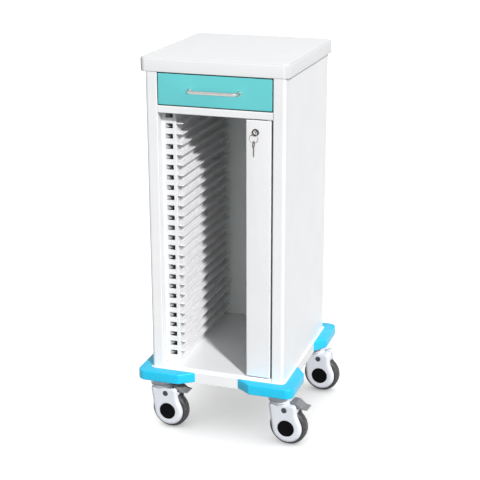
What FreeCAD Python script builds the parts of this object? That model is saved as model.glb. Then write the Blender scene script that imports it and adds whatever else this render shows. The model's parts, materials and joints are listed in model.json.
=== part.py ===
import FreeCAD, Part
import math
import os

# Rolling rack for patient charts: a narrow sheet-steel cabinet with a moulded
# worktop, a drawer, an open bay with ledges for chart holders, a narrow lockable
# flap beside the bay, a base with corner bumpers and four covered swivel casters.
# Millimetres. +Z is up, -Y is the front, +X is the right side seen from the front.
# The origin lies on the floor, under the middle of the rack's overall plan.

V = FreeCAD.Vector
X_AXIS = V(1, 0, 0)
Y_AXIS = V(0, 1, 0)
Z_AXIS = V(0, 0, 1)

# ---------------------------------------------------------------- driving sizes
# Cabinet
cabinet_width = 360.0
cabinet_depth = 406.0
corner_radius = 8.0            # vertical outside corners of the cabinet and base
sheet = 1.2                    # thickness of all the folded steel
bend_radius = 1.2              # inside radius of a fold
stile_width = 31.0             # front face beside the openings
fold_depth = 14.0              # how far the front folds go back
rear_return = 20.0             # rear flange of the side panels
opening_floor_rise = 8.4       # from the base up to the floor of the bay
bay_height = 678.4             # clear height of the chart bay
rail_height = 18.8             # rail between the bay and the drawer

# Worktop
worktop_thickness = 36.0
worktop_left_overhang = 15.0
worktop_right_overhang = 8.0
worktop_front_overhang = 1.2
worktop_rear_overhang = 12.0
worktop_corner_radius = 16.0
worktop_edge_radius = 7.0
worktop_lower_radius = 2.0
worktop_wall = 4.0
worktop_rib = 3.0
worktop_pockets_across = 2
worktop_pockets_deep = 2

# Base and bumpers
base_bottom = 150.0
base_thickness = 28.5
base_overhang = 5.0            # how far the base stands out beyond the cabinet
base_wall = 3.0
base_rib = 3.0
boss_radius = 14.0             # boss round each caster stem
bumper_reach = 28.0            # how far a bumper stands out of the base
bumper_leg = 126.0             # length along each side, from the base's corner
bumper_bevel = 38.0            # run of the slanted end
bumper_corner_radius = 22.0
bumper_edge_radius = 3.0
bumper_drop = 1.5              # underside of a bumper above the base's underside
curved_gap = 0.3               # between curved faces of neighbouring pieces

# Chart rack
level_count = 25
rack_foot = 8.4                # from the bay's floor to the foot of the first level
rack_head = 3.5                # from the last level's top to the bay's ceiling
rack_setback = 28.0            # rack's front flange behind the cabinet front
rack_flange_width = 38.0
rack_rear_gap = 20.0           # rack's rear flange in front of the back panel
ledge_reach = 17.5
ledge_thickness = 2.4
ledge_corner_radius = 2.0
window_width = 19.6
window_height = 12.2
window_inset = 9.4             # from the cabinet opening to the window's outer side
tab_length = 17.0              # tab left standing at each window's outer side
tab_bend = 60.0                # degrees that a tab is bent back
tab_root = 3.0                 # part of the tab that lies in the flange

# Drawer
drawer_gap = 2.5
drawer_front_height = 77.4
drawer_front_depth = 16.0
drawer_front_wall = 1.5
drawer_front_hem = 12.0        # rear edge, folded in to meet the tray
drawer_front_radius = 1.5
tray_depth = 335.0
tray_height = 56.0
tray_floor_gap = 6.0           # tray's underside above the rail's top
tray_hem = 8.0                 # folded rim of the tray
drawer_travel = 300.0
slide_height = 35.0
slide_thickness = 12.7
slide_overlap = 50.0           # a slide's members still inside each other, drawer out
slide_gap = 0.3                # between the nested members of a slide
slide_lift = 15.0              # slide's underside above the bay's bottom
slide_setback = 4.0            # slide's front end behind the stile's fold

# Handle
handle_centres = 128.0
handle_bar = 9.0
handle_stand_off = 20.0
handle_bend = 13.0
handle_foot = 12.0             # diameter of the foot that meets the drawer
handle_foot_height = 3.0
screw_size = 4.0
screw_head_size = 7.5
screw_head_height = 2.4
screw_depth = 9.0
screw_clearance = 0.1

# Flap
flap_width = 63.4
flap_edge_gap = 4.6            # dark gap on the hinge side
flap_end_gap = 2.0
flap_corner_radius = 2.0
flap_hem = 10.0
pin_size = 5.0
pin_inset_x = 4.4              # pivot from the flap's hinge-side edge
pin_inset_y = 5.3              # pivot behind the flap's front face
pin_hold = 14.0                # length of a pin inside the flap
pin_reach = 6.5                # length of a pin beyond the flap
running_gap = 0.05             # radial, for every pivot and axle
bush_wall = 1.2
bush_flange = 6.0              # radius
bush_flange_thickness = 1.3
bush_body = 5.0

# Lock and keys
lock_from_edge = 24.0          # lock axis from the flap's free edge
lock_below_top = 30.0
lock_face_size = 18.0
lock_face_height = 2.5
lock_face_edge_radius = 0.8
lock_body_size = 16.0
lock_body_length = 13.6
lock_body_flats = 14.0
nut_across_flats = 22.0
nut_thickness = 3.0
plug_size = 11.0
plug_proud = 0.6
cam_gap = 0.5                  # between the flap's hems and the cam
cam_thickness = 2.0
cam_width = 12.0
cam_length = 37.0
key_thickness = 1.6
key_blade_width = 6.5
key_blade_length = 12.0
key_neck = 3.0
key_bow_radius = 9.0
key_hole_radius = 4.5
keyway_gap = 0.1
key_lean = 45.0                # degrees; the key leans this much when unlocked
spare_blade_length = 22.0
ring_radius = 11.0
ring_wire = 1.2
ring_drop = 1.0                # ring's top below the bow hole's centre
ring_play = 0.3                # between the ring's wire and the spare key

# Casters
caster_inset_x = 15.0          # swivel axis from the cabinet's side
caster_inset_y = 31.5
caster_trail = 24.0
caster_swing = -5.0            # degrees that the casters stand turned on their swivels
wheel_radius = 50.8
tyre_width = 27.0
tyre_depth = 12.5
tyre_shoulder = 8.0
rim_lip = 1.5                  # tyre's foot narrower than the tyre, a side
core_hub_radius = 12.0
core_web = 7.0
core_rim = 5.0
core_draft = 3.0               # slope where the web meets the hub and the rim
axle_size = 8.0
collar_radius = 32.0
collar_height = 10.0
collar_edge_radius = 2.4
head_radius = 27.0
head_height = 13.5             # swivel head between the collar and the base
stem_size = 12.0
stem_in_base = 20.0
stem_in_fork = 13.0
stem_end_gap = 2.0
fork_seam = 1.0                # swivel gap between the collar and the fork
fork_width = 50.0
fork_edge_radius = 9.5         # rounding of the side faces' edges
fork_corner_radius = 11.0      # upper corners in the side view
cover_radius = 41.5
cover_lean = 8.0               # degrees; slope of the fork's trailing edge
cover_shoulder = 24.0          # degrees above the axle where the leading edge leaves the disc
waist_above = 38.5             # narrowest place of the leading edge, above the axle
waist_radius = 30.0
neck_ahead = 27.0              # leading edge at the top, ahead of the axle
neck_above = 69.0              # top of the neck, above the axle
ring_height = 4.0              # round rim that meets the collar
flare_height = 12.0            # the neck widens into the rim over this height
flare_foot_radius = 24.0
wheel_clearance = 2.4          # round the tread
wheel_side_gap = 1.5           # beside the tyre
core_side_gap = 0.5            # beside the wheel's hub
cover_pocket = 5.0             # depth of the hollow inside each cover
cover_pocket_radius = 36.0
cover_boss_radius = 10.0
lug_ahead = 22.0               # rounded lug between the cheeks of the forks without a brake
lug_above = 67.0
lug_radius = 12.0
lug_width = 18.0
lug_edge_radius = 3.0
lug_foot = 19.0                # how far the lug runs down into the neck
lug_slot_ahead = 28.0
lug_slot_above = 66.0
lug_slot_width = 3.0
lug_slot_height = 6.0
lug_slot_depth = 2.0
hub_cap_radius = 22.6
hub_cap_proud = 1.2
hub_cap_edge_radius = 1.0
screw_plug_radius = 7.4
screw_plug_proud = 0.4
screw_plug_back = 5.5          # screw plug from the wheel's axle
screw_plug_above = 50.4
cap_recess = 1.2
cap_gap = 0.1
pivot_ahead = 17.0             # brake pivot from the wheel's axle
pivot_above = 63.0
pivot_size = 5.0
pivot_hold = 3.0               # how deep a trunnion sits in the fork's cheek
pedal_hub_radius = 6.0
pedal_width = 33.0
pedal_reach = 55.5             # tip from the wheel's axle
pedal_tip_above = 60.5
pedal_thickness = 3.0
pedal_crest_ahead = 25.0
pedal_crest_above = 75.0
pedal_dip_ahead = 43.0         # where the slope runs out into the tongue
pedal_dip_above = 61.5
pedal_scoop_radius = 14.0
pedal_throat_ahead = 27.0      # underside beside the hub
pedal_throat_above = 62.0
pedal_under_ahead = 37.0       # underside where the tongue begins
pedal_tail_above = 69.8        # underside of the rear end
pedal_gap = 0.4                # between the pedal and the fork
turning_room = 2.0             # round the pedal's hub

# Cutting tools reach this far past the faces they open.
over = 1.0

# ---------------------------------------------------------------- derived places
half_width = cabinet_width / 2
half_depth = cabinet_depth / 2
front = -half_depth
rear = half_depth
base_top = base_bottom + base_thickness
base_half_x = half_width + base_overhang
base_half_y = half_depth + base_overhang
base_corner_radius = corner_radius + base_overhang
opening_half = half_width - stile_width
fold_back = front + fold_depth
bay_floor = base_top + opening_floor_rise

rail_bottom = bay_floor + bay_height
rail_top = rail_bottom + rail_height
drawer_front_bottom = rail_top + drawer_gap
drawer_front_top = drawer_front_bottom + drawer_front_height
cabinet_top_z = drawer_front_top + drawer_gap
level_pitch = (bay_height - rack_foot - rack_head) / level_count

back_face = rear - sheet - sheet      # inner face of the back panel
side_face = half_width - sheet        # inner face of a side panel

rack_front = front + rack_setback
rack_rear = back_face - rack_rear_gap
web_half = opening_half - rack_flange_width

slide_bottom = rail_top + slide_lift
slide_top = slide_bottom + slide_height
slide_front = fold_back + slide_setback
slide_length = drawer_travel + slide_overlap
tray_half = opening_half - slide_thickness
tray_bottom = rail_top + tray_floor_gap
tray_top = tray_bottom + tray_height
tray_front = front + drawer_front_depth
tray_rear = tray_front + tray_depth

flap_right = opening_half - flap_edge_gap
flap_left = flap_right - flap_width
flap_bottom = bay_floor + flap_end_gap
flap_top = rail_bottom - flap_end_gap
flap_rear = fold_back
pin_x = flap_right - pin_inset_x
pin_y = front + pin_inset_y

lock_x = flap_left + lock_from_edge
lock_z = flap_top - lock_below_top
lock_face_y = front - lock_face_height
plug_face_y = lock_face_y - plug_proud
cam_y = fold_back + cam_gap
bow_y = plug_face_y - key_neck - key_bow_radius
ring_top_z = lock_z - ring_drop
ring_centre_z = ring_top_z - ring_radius
ring_bottom_z = ring_centre_z - ring_radius
spare_hole_z = ring_bottom_z - key_hole_radius + ring_wire / 2 + ring_play

caster_x = half_width - caster_inset_x
caster_y = half_depth - caster_inset_y
collar_bottom = base_bottom - collar_height - head_height
fork_top = collar_bottom - fork_seam
flare_bottom = fork_top - ring_height - flare_height
cover_face = fork_width / 2
cavity_half = tyre_width / 2 + wheel_side_gap
cheek_face = pedal_width / 2 + pedal_gap
pivot_z = wheel_radius + pivot_above
pedal_tail_ahead = collar_radius + fork_seam + pedal_gap - caster_trail

swing = math.radians(caster_swing)
left_extent = base_half_x + bumper_reach
right_extent = (caster_x + (caster_trail + pedal_reach) * math.cos(swing)
                - pedal_width / 2 * math.sin(swing))
plan_shift = V((left_extent - right_extent) / 2, 0, 0)

CORNERS = {
    "front_left": (-1, -1),
    "front_right": (1, -1),
    "rear_left": (-1, 1),
    "rear_right": (1, 1),
}
BRAKED = ("front_left", "front_right")
SIDES = {"left": -1, "right": 1}


# ---------------------------------------------------------------- shape helpers
def box(x0, x1, y0, y1, z0, z1):
    return Part.makeBox(x1 - x0, y1 - y0, z1 - z0, V(x0, y0, z0))


def rod(start, end, radius):
    along = end - start
    return Part.makeCylinder(radius, along.Length, start, along)


def rounded_wire(points, radii):
    """Closed wire through the points, each corner rounded by its radius."""
    edges = []
    ends = []
    count = len(points)
    for i in range(count):
        corner = points[i]
        back = (points[i - 1] - corner).normalize()
        ahead = (points[(i + 1) % count] - corner).normalize()
        if radii[i] <= 0:
            ends.append((corner, corner))
            continue
        half_angle = back.getAngle(ahead) / 2
        run = radii[i] / math.tan(half_angle)
        start = corner + back * run
        end = corner + ahead * run
        inward = (back + ahead).normalize()
        centre = corner + inward * (radii[i] / math.sin(half_angle))
        middle = centre - inward * radii[i]
        ends.append((start, end))
        edges.append(Part.Arc(start, middle, end).toShape())
    for i in range(count):
        leave = ends[i][1]
        arrive = ends[(i + 1) % count][0]
        if leave.distanceToPoint(arrive) > 1e-6:
            edges.append(Part.makeLine(leave, arrive))
    return Part.Wire(Part.__sortEdges__(edges))


def prism(points, radii, along):
    return Part.Face(rounded_wire(points, radii)).extrude(along)


def plan_prism(outline, z0, z1, radii=None):
    points = [V(x, y, z0) for x, y in outline]
    return prism(points, radii or [0] * len(points), V(0, 0, z1 - z0))


def side_prism(outline, y0, y1, radii=None):
    points = [V(x, y0, z) for x, z in outline]
    return prism(points, radii or [0] * len(points), V(0, y1 - y0, 0))


def folded_outline(path, thickness, inner_radius):
    """Outline of a folded sheet that lies to the left of a path of (a, b) points."""
    count = len(path)
    directions = []
    for i in range(count - 1):
        da = path[i + 1][0] - path[i][0]
        db = path[i + 1][1] - path[i][1]
        length = math.hypot(da, db)
        directions.append((da / length, db / length))
    offset = []
    near_radii = []
    far_radii = []
    for i in range(count):
        before = directions[max(i - 1, 0)]
        after = directions[min(i, count - 2)]
        left_before = (-before[1], before[0])
        left_after = (-after[1], after[0])
        scale = 1 + left_before[0] * left_after[0] + left_before[1] * left_after[1]
        shift_a = thickness * (left_before[0] + left_after[0]) / scale
        shift_b = thickness * (left_before[1] + left_after[1]) / scale
        offset.append((path[i][0] + shift_a, path[i][1] + shift_b))
        turn = before[0] * after[1] - before[1] * after[0]
        if i in (0, count - 1) or abs(turn) < 1e-6:
            near_radii.append(0)
            far_radii.append(0)
        elif turn > 0:
            near_radii.append(inner_radius + thickness)
            far_radii.append(inner_radius)
        else:
            near_radii.append(inner_radius)
            far_radii.append(inner_radius + thickness)
    return path + offset[::-1], near_radii + far_radii[::-1]


def round_edges(shape, radius, chosen):
    edges = [edge for edge in shape.Edges if chosen(edge)]
    return shape.makeFillet(radius, edges)


def is_upright(edge):
    low, high = edge.BoundBox.ZMin, edge.BoundBox.ZMax
    flat = edge.BoundBox.XLength < 1e-6 and edge.BoundBox.YLength < 1e-6
    return flat and high - low > 1e-6


def at_height(z):
    def chosen(edge):
        return abs(edge.BoundBox.ZMin - z) < 1e-4 and abs(edge.BoundBox.ZMax - z) < 1e-4
    return chosen


def mirror_x(shape):
    return shape.mirror(V(0, 0, 0), X_AXIS)


def for_side(shape_on_left, side):
    return shape_on_left if side < 0 else mirror_x(shape_on_left)


# ---------------------------------------------------------------- cabinet
def worktop():
    x0 = -half_width - worktop_left_overhang
    x1 = half_width + worktop_right_overhang
    y0 = front - worktop_front_overhang
    y1 = rear + worktop_rear_overhang
    top = cabinet_top_z + worktop_thickness
    outline = [(x0, y0), (x1, y0), (x1, y1), (x0, y1)]
    slab = plan_prism(outline, cabinet_top_z, top, [worktop_corner_radius] * 4)
    slab = round_edges(slab, worktop_edge_radius, at_height(top))
    slab = round_edges(slab, worktop_lower_radius, at_height(cabinet_top_z))
    # Moulding pockets in the underside, all of them over the cabinet's top panel.
    field_x = 2 * (side_face - worktop_rib)
    field_y = cabinet_depth - 2 * rear_return
    pitch_x = field_x / worktop_pockets_across
    pitch_y = field_y / worktop_pockets_deep
    for i in range(worktop_pockets_across):
        for j in range(worktop_pockets_deep):
            px = -field_x / 2 + i * pitch_x
            py = -field_y / 2 + j * pitch_y
            pocket = box(px + worktop_rib / 2, px + pitch_x - worktop_rib / 2,
                         py + worktop_rib / 2, py + pitch_y - worktop_rib / 2,
                         cabinet_top_z, top - worktop_wall)
            slab = slab.cut(pocket)
    return slab


def side_panel(side):
    """Skin with a front stile, folded back beside the openings, and a rear flange."""
    path = [(-half_width + rear_return, rear), (-half_width, rear), (-half_width, front),
            (-opening_half, front), (-opening_half, fold_back)]
    outline, radii = folded_outline(path, sheet, bend_radius)
    last = len(outline) - 1
    for i in (1, 2):
        radii[i] = corner_radius
        radii[last - i] = corner_radius - sheet
    return for_side(plan_prism(outline, base_top, cabinet_top_z, radii), side)


def back_panel():
    edge = side_face - curved_gap
    fold = back_face - fold_depth
    path = [(-edge, fold), (-edge, rear - sheet), (edge, rear - sheet), (edge, fold)]
    outline, radii = folded_outline(path[::-1], sheet, corner_radius)
    return plan_prism(outline, base_top, cabinet_top_z - 2 * sheet, radii)


def cabinet_top():
    """Top panel under the worktop, folded down along the side panels."""
    inside = side_face
    low = cabinet_top_z - fold_depth
    path = [(inside, low), (inside, cabinet_top_z), (-inside, cabinet_top_z), (-inside, low)]
    outline, radii = folded_outline(path, sheet, bend_radius)
    y0 = front + corner_radius + fold_depth
    points = [V(x, y0, z) for x, z in outline]
    return prism(points, radii, V(0, back_face - fold_depth - curved_gap - y0, 0))


def front_rail():
    """Channel between the stiles; its lower flange carries the flap's upper bush."""
    path = [(fold_back, rail_bottom), (front, rail_bottom), (front, rail_top), (fold_back, rail_top)]
    outline, radii = folded_outline(path[::-1], sheet, bend_radius)
    points = [V(-opening_half, y, z) for y, z in outline]
    rail = prism(points, radii, V(2 * opening_half, 0, 0))
    hole = rod(V(pin_x, pin_y, rail_bottom - over),
               V(pin_x, pin_y, rail_bottom + 2 * sheet), bush_hole())
    return rail.cut(hole)


def drawer_bay():
    """Trough that carries the slides; its rims rest against the side panels."""
    rim = cabinet_top_z - fold_depth - sheet
    path = [(-side_face, rim), (-opening_half, rim), (-opening_half, rail_top),
            (opening_half, rail_top), (opening_half, rim), (side_face, rim)]
    outline, radii = folded_outline(path[::-1], sheet, bend_radius)
    return side_prism(outline, fold_back, back_face - fold_depth - curved_gap, radii)


def compartment_floor():
    rear_lip = rack_rear + rack_rear_gap - sheet
    path = [(front, base_top), (front, bay_floor), (rear_lip, bay_floor), (rear_lip, base_top)]
    outline, radii = folded_outline(path[::-1], sheet, bend_radius)
    points = [V(-opening_half, y, z) for y, z in outline]
    floor = prism(points, radii, V(2 * opening_half, 0, 0))
    hole = rod(V(pin_x, pin_y, bay_floor - 2 * sheet), V(pin_x, pin_y, bay_floor + over),
               bush_hole())
    return floor.cut(hole)


def rack_panel(side):
    """Windowed front flange, ledge web and rear flange, folded from one sheet."""
    path = [(-opening_half, fold_back), (-opening_half, rack_front), (-web_half, rack_front),
            (-web_half, rack_rear), (-opening_half, rack_rear)]
    outline, radii = folded_outline(path, sheet, bend_radius)
    panel = plan_prism(outline, bay_floor, rail_bottom, radii)
    x0 = -opening_half + window_inset
    windows = []
    tabs = []
    for level in range(level_count):
        top = ledge_level(level + 1) - ledge_thickness / 2
        windows.append(box(x0, x0 + window_width, rack_front - over, rack_front + 2 * sheet,
                           top - window_height, top))
        tabs.append(window_tab(x0, top))
    return for_side(panel.cut(Part.makeCompound(windows)).fuse(tabs), side)


def window_tab(x0, top):
    """The window's metal, still joined at its outer side and bent back."""
    bend = math.radians(tab_bend)
    tip = (x0 + tab_length * math.cos(bend), rack_front + tab_length * math.sin(bend))
    path = [(x0 - tab_root, rack_front), (x0, rack_front), tip]
    outline, radii = folded_outline(path, sheet, bend_radius)
    return plan_prism(outline, top - window_height, top, radii)


def ledge_level(number):
    return bay_floor + rack_foot + level_pitch * number


def chart_ledges(side):
    """One thin shelf strip a level, square-ended with eased inner corners."""
    tip = web_half - ledge_reach
    outline = [(-web_half, rack_front), (-tip, rack_front), (-tip, rack_rear), (-web_half, rack_rear)]
    radii = [0, ledge_corner_radius, ledge_corner_radius, 0]
    ledges = []
    for number in range(1, level_count):
        z = ledge_level(number)
        ledges.append(plan_prism(outline, z - ledge_thickness / 2, z + ledge_thickness / 2, radii))
    return for_side(Part.makeCompound(ledges), side)


# ---------------------------------------------------------------- base
def base_pan():
    """Moulded tray, open underneath, with a cross of ribs and a boss over each caster."""
    x = base_half_x
    y = base_half_y
    outline = [(-x, -y), (x, -y), (x, y), (-x, y)]
    pan = plan_prism(outline, base_bottom, base_top, [base_corner_radius] * 4)
    inner_x = x - base_wall
    inner_y = y - base_wall
    inner = [(-inner_x, -inner_y), (inner_x, -inner_y), (inner_x, inner_y), (-inner_x, inner_y)]
    ceiling = base_top - base_wall
    pan = pan.cut(plan_prism(inner, base_bottom, ceiling, [base_corner_radius - base_wall] * 4))
    half_rib = base_rib / 2
    low = base_bottom + base_wall
    ribs = [box(-half_rib, half_rib, -inner_y, inner_y, low, ceiling),
            box(-inner_x, inner_x, -half_rib, half_rib, low, ceiling)]
    for sx, sy in CORNERS.values():
        cx = sx * caster_x
        cy = sy * caster_y
        ribs.append(rod(V(cx, cy, base_bottom), V(cx, cy, ceiling), boss_radius))
        ribs.append(box(min(cx, sx * inner_x), max(cx, sx * inner_x),
                        cy - half_rib, cy + half_rib, low, ceiling))
        ribs.append(box(cx - half_rib, cx + half_rib,
                        min(cy, sy * inner_y), max(cy, sy * inner_y), low, ceiling))
    pan = pan.fuse(ribs)
    for sx, sy in CORNERS.values():
        centre = V(sx * caster_x, sy * caster_y, base_bottom)
        pan = pan.cut(rod(centre, centre + Z_AXIS * stem_in_base, stem_size / 2 + running_gap))
    return pan.removeSplitter()


def bumper(sx, sy):
    """Corner guard, L-shaped in plan, with slanted ends and a rounded corner."""
    out_x = base_half_x + bumper_reach
    out_y = base_half_y + bumper_reach
    end_x = base_half_x - bumper_leg
    end_y = base_half_y - bumper_leg
    outline = [(end_x, base_half_y), (end_x + bumper_bevel, out_y), (out_x, out_y),
               (out_x, end_y + bumper_bevel), (base_half_x, end_y), (base_half_x, base_half_y)]
    radii = [0, bumper_edge_radius, bumper_corner_radius, bumper_edge_radius, 0, 0]
    low = base_bottom + bumper_drop
    guard = plan_prism(outline, low, base_top, radii)
    corner_x = base_half_x - base_corner_radius
    corner_y = base_half_y - base_corner_radius
    guard = guard.cut(rod(V(corner_x, corner_y, low - over), V(corner_x, corner_y, base_top + over),
                          base_corner_radius + curved_gap))

    def outer_rim(edge):
        if not (at_height(low)(edge) or at_height(base_top)(edge)):
            return False
        centre = edge.CenterOfMass
        beyond_side = centre.x > base_half_x + bumper_edge_radius
        beyond_front = centre.y > base_half_y + bumper_edge_radius
        return beyond_side or beyond_front

    guard = round_edges(guard, bumper_edge_radius, outer_rim)
    if sx < 0:
        guard = mirror_x(guard)
    if sy < 0:
        guard = guard.mirror(V(0, 0, 0), Y_AXIS)
    return guard


# ---------------------------------------------------------------- drawer
def drawer_front():
    """Pressed panel with its edges folded back, open behind."""
    x1 = opening_half - drawer_gap
    panel = box(-x1, x1, front, tray_front, drawer_front_bottom, drawer_front_top)

    def on_front(edge):
        return abs(edge.BoundBox.YMin - front) < 1e-4 and abs(edge.BoundBox.YMax - front) < 1e-4

    panel = round_edges(panel, drawer_front_radius, on_front)
    wall = drawer_front_wall
    panel = panel.cut(box(-x1 + wall, x1 - wall, front + wall, tray_front - wall,
                          drawer_front_bottom + wall, drawer_front_top - wall))
    hem = drawer_front_hem
    panel = panel.cut(box(-x1 + hem, x1 - hem, tray_front - 2 * wall, tray_front + over,
                          drawer_front_bottom + hem, drawer_front_top - hem))
    for start, end in screw_lines():
        panel = panel.cut(rod(start, end, screw_size / 2 + screw_clearance))
    return panel


def handle_height():
    return (drawer_front_bottom + drawer_front_top) / 2


def screw_lines():
    """Each screw's shank, from the back of the drawer's skin into a handle foot."""
    z = handle_height()
    for sign in (-1, 1):
        x = sign * handle_centres / 2
        yield V(x, front + drawer_front_wall, z), V(x, front + drawer_front_wall - screw_depth, z)


def drawer_handle():
    """Bent bar with a foot at each end."""
    z = handle_height()
    bar_y = front - handle_stand_off
    end_x = handle_centres / 2
    foot_y = front - handle_foot_height / 2
    corners = [V(-end_x, foot_y, z), V(-end_x, bar_y, z), V(end_x, bar_y, z), V(end_x, foot_y, z)]
    bend_left = V(-end_x + handle_bend, bar_y + handle_bend, z)
    bend_right = V(end_x - handle_bend, bar_y + handle_bend, z)
    diagonal = handle_bend * math.sqrt(0.5)
    start_left = V(-end_x, bar_y + handle_bend, z)
    end_left = V(-end_x + handle_bend, bar_y, z)
    start_right = V(end_x - handle_bend, bar_y, z)
    end_right = V(end_x, bar_y + handle_bend, z)
    path = Part.Wire([
        Part.makeLine(corners[0], start_left),
        Part.Arc(start_left, bend_left + V(-diagonal, -diagonal, 0), end_left).toShape(),
        Part.makeLine(end_left, start_right),
        Part.Arc(start_right, bend_right + V(diagonal, -diagonal, 0), end_right).toShape(),
        Part.makeLine(end_right, corners[3]),
    ])
    section = Part.Wire(Part.makeCircle(handle_bar / 2, corners[0], Y_AXIS))
    bar = path.makePipeShell([section], True, True)
    for sign in (-1, 1):
        foot = rod(V(sign * end_x, front, z), V(sign * end_x, front - handle_foot_height, z),
                   handle_foot / 2)
        bar = bar.fuse(foot)
    for start, end in screw_lines():
        bar = bar.cut(rod(start, end, screw_size / 2 + screw_clearance / 2))
    return bar


def handle_screws():
    screws = []
    for start, end in screw_lines():
        shank = rod(start, end, screw_size / 2)
        head = rod(start, start + Y_AXIS * screw_head_height, screw_head_size / 2)
        screws.append(shank.fuse(head))
    return Part.makeCompound(screws)


def drawer_tray():
    """Open box with a folded rim."""
    body = box(-tray_half, tray_half, tray_front, tray_rear, tray_bottom, tray_top)
    body = round_edges(body, bend_radius + sheet, at_height(tray_bottom))
    hollow = box(-tray_half + sheet, tray_half - sheet, tray_front + sheet, tray_rear - sheet,
                 tray_bottom + sheet, tray_top - sheet)
    mouth = box(-tray_half + tray_hem, tray_half - tray_hem, tray_front + tray_hem,
                tray_rear - tray_hem, tray_top - 2 * sheet, tray_top + over)
    return body.cut(hollow).cut(mouth)


def slide_member(side, web_x, lip_x, height):
    """Channel of a telescopic slide: an upright web and a lip along each edge."""
    middle = (slide_bottom + slide_top) / 2
    low = middle - height / 2
    high = middle + height / 2
    if lip_x < web_x:
        path = [(lip_x, high), (web_x, high), (web_x, low), (lip_x, low)]
        outline, radii = folded_outline(path[::-1], sheet, sheet / 2)
    else:
        path = [(lip_x, low), (web_x, low), (web_x, high), (lip_x, high)]
        outline, radii = folded_outline(path[::-1], sheet, sheet / 2)
    channel = side_prism(outline, slide_front, slide_front + slide_length, radii)
    return channel if side > 0 else mirror_x(channel)


def slide_outer(side):
    return slide_member(side, opening_half, tray_half + sheet + slide_gap, slide_height)


def slide_middle(side):
    web_x = opening_half - sheet - slide_gap
    height = slide_height - 2 * (sheet + slide_gap)
    return slide_member(side, web_x, tray_half + sheet + 2 * slide_gap, height)


def slide_inner(side):
    height = slide_height - 4 * (sheet + slide_gap)
    lip_x = opening_half - 2 * sheet - 3 * slide_gap
    return slide_member(side, tray_half, lip_x, height)


# ---------------------------------------------------------------- flap
def flap_panel():
    """Narrow door folded into a box section, its back open between two hems."""
    outer = box(flap_left, flap_right, front, flap_rear, flap_bottom, flap_top)
    outer = round_edges(outer, flap_corner_radius, is_upright)
    inner = box(flap_left + sheet, flap_right - sheet, front + sheet, flap_rear - sheet,
                flap_bottom + sheet, flap_top - sheet)
    gap = box(flap_left + flap_hem, flap_right - flap_hem, flap_rear - 2 * sheet, flap_rear + over,
              flap_bottom + flap_hem, flap_top - flap_hem)
    panel = outer.cut(inner).cut(gap)
    panel = panel.cut(rod(V(lock_x, front - over, lock_z), V(lock_x, front + 2 * sheet, lock_z),
                          lock_body_size / 2 + keyway_gap))
    for start, end in pin_lines():
        panel = panel.cut(rod(start, end, pin_size / 2 + running_gap))
    return panel


def pin_lines():
    """Each pivot pin, from inside the flap out towards the frame."""
    for end_z, outward in ((flap_bottom, -1), (flap_top, 1)):
        inside = V(pin_x, pin_y, end_z - outward * pin_hold)
        outside = V(pin_x, pin_y, end_z + outward * pin_reach)
        yield inside, outside


def flap_hinge_pins():
    return Part.makeCompound([rod(start, end, pin_size / 2) for start, end in pin_lines()])


def bush_hole():
    return pin_size / 2 + running_gap + bush_wall + running_gap


def flap_hinge_bushes():
    """Flanged plastic bushes in the floor and in the rail."""
    bushes = []
    for seat, outward in ((bay_floor, -1), (rail_bottom, 1)):
        middle = V(pin_x, pin_y, seat)
        flange_end = middle - Z_AXIS * (outward * bush_flange_thickness)
        body_end = middle + Z_AXIS * (outward * bush_body)
        flange = rod(middle, flange_end, bush_flange)
        # The flange is trimmed flush with the cabinet's front and the fold behind it.
        trim = box(pin_x - pin_size, pin_x + pin_size + 1, front + sheet / 2, fold_back,
                   seat - 2 * bush_body, seat + 2 * bush_body)
        bush = flange.common(trim).fuse(rod(middle, body_end, pin_size / 2 + running_gap + bush_wall))
        bore = rod(flange_end - Z_AXIS * outward, body_end + Z_AXIS * outward,
                   pin_size / 2 + running_gap)
        bushes.append(bush.cut(bore))
    return Part.makeCompound(bushes)


# ---------------------------------------------------------------- lock and keys
def lock_point(y):
    return V(lock_x, y, lock_z)


def lock_housing():
    """Barrel with a chrome face; two flats stop it turning in the flap."""
    face = rod(lock_point(front), lock_point(lock_face_y), lock_face_size / 2)
    face = round_edges(face, lock_face_edge_radius,
                       lambda edge: abs(edge.BoundBox.YMax - lock_face_y) < 1e-4)
    body = rod(lock_point(front), lock_point(front + lock_body_length), lock_body_size / 2)
    half = lock_body_flats / 2
    flats = box(lock_x - half, lock_x + half, front, front + lock_body_length,
                lock_z - lock_body_size, lock_z + lock_body_size)
    barrel = face.fuse(body.common(flats))
    return barrel.cut(rod(lock_point(lock_face_y - over), lock_point(front + lock_body_length + over),
                          plug_size / 2 + running_gap))


def lock_nut():
    circumradius = nut_across_flats / math.sqrt(3)
    y0 = front + sheet
    points = [V(lock_x + circumradius * math.cos(math.radians(60 * i)), y0,
                lock_z + circumradius * math.sin(math.radians(60 * i))) for i in range(6)]
    nut = prism(points, [0] * 6, V(0, nut_thickness, 0))
    return nut.cut(rod(lock_point(y0 - over), lock_point(y0 + nut_thickness + over),
                       lock_body_size / 2 + keyway_gap))


def lean(shape):
    """Turn a piece that was drawn upright to the key's angle when unlocked."""
    return shape.rotate(lock_point(front), Y_AXIS, key_lean)


def lock_plug():
    plug = rod(lock_point(plug_face_y), lock_point(cam_y), plug_size / 2)
    half_t = key_thickness / 2 + keyway_gap
    half_w = key_blade_width / 2 + keyway_gap
    keyway = box(lock_x - half_t, lock_x + half_t, plug_face_y - over, plug_face_y + key_blade_length,
                 lock_z - half_w, lock_z + half_w)
    return plug.cut(lean(keyway))


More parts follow.
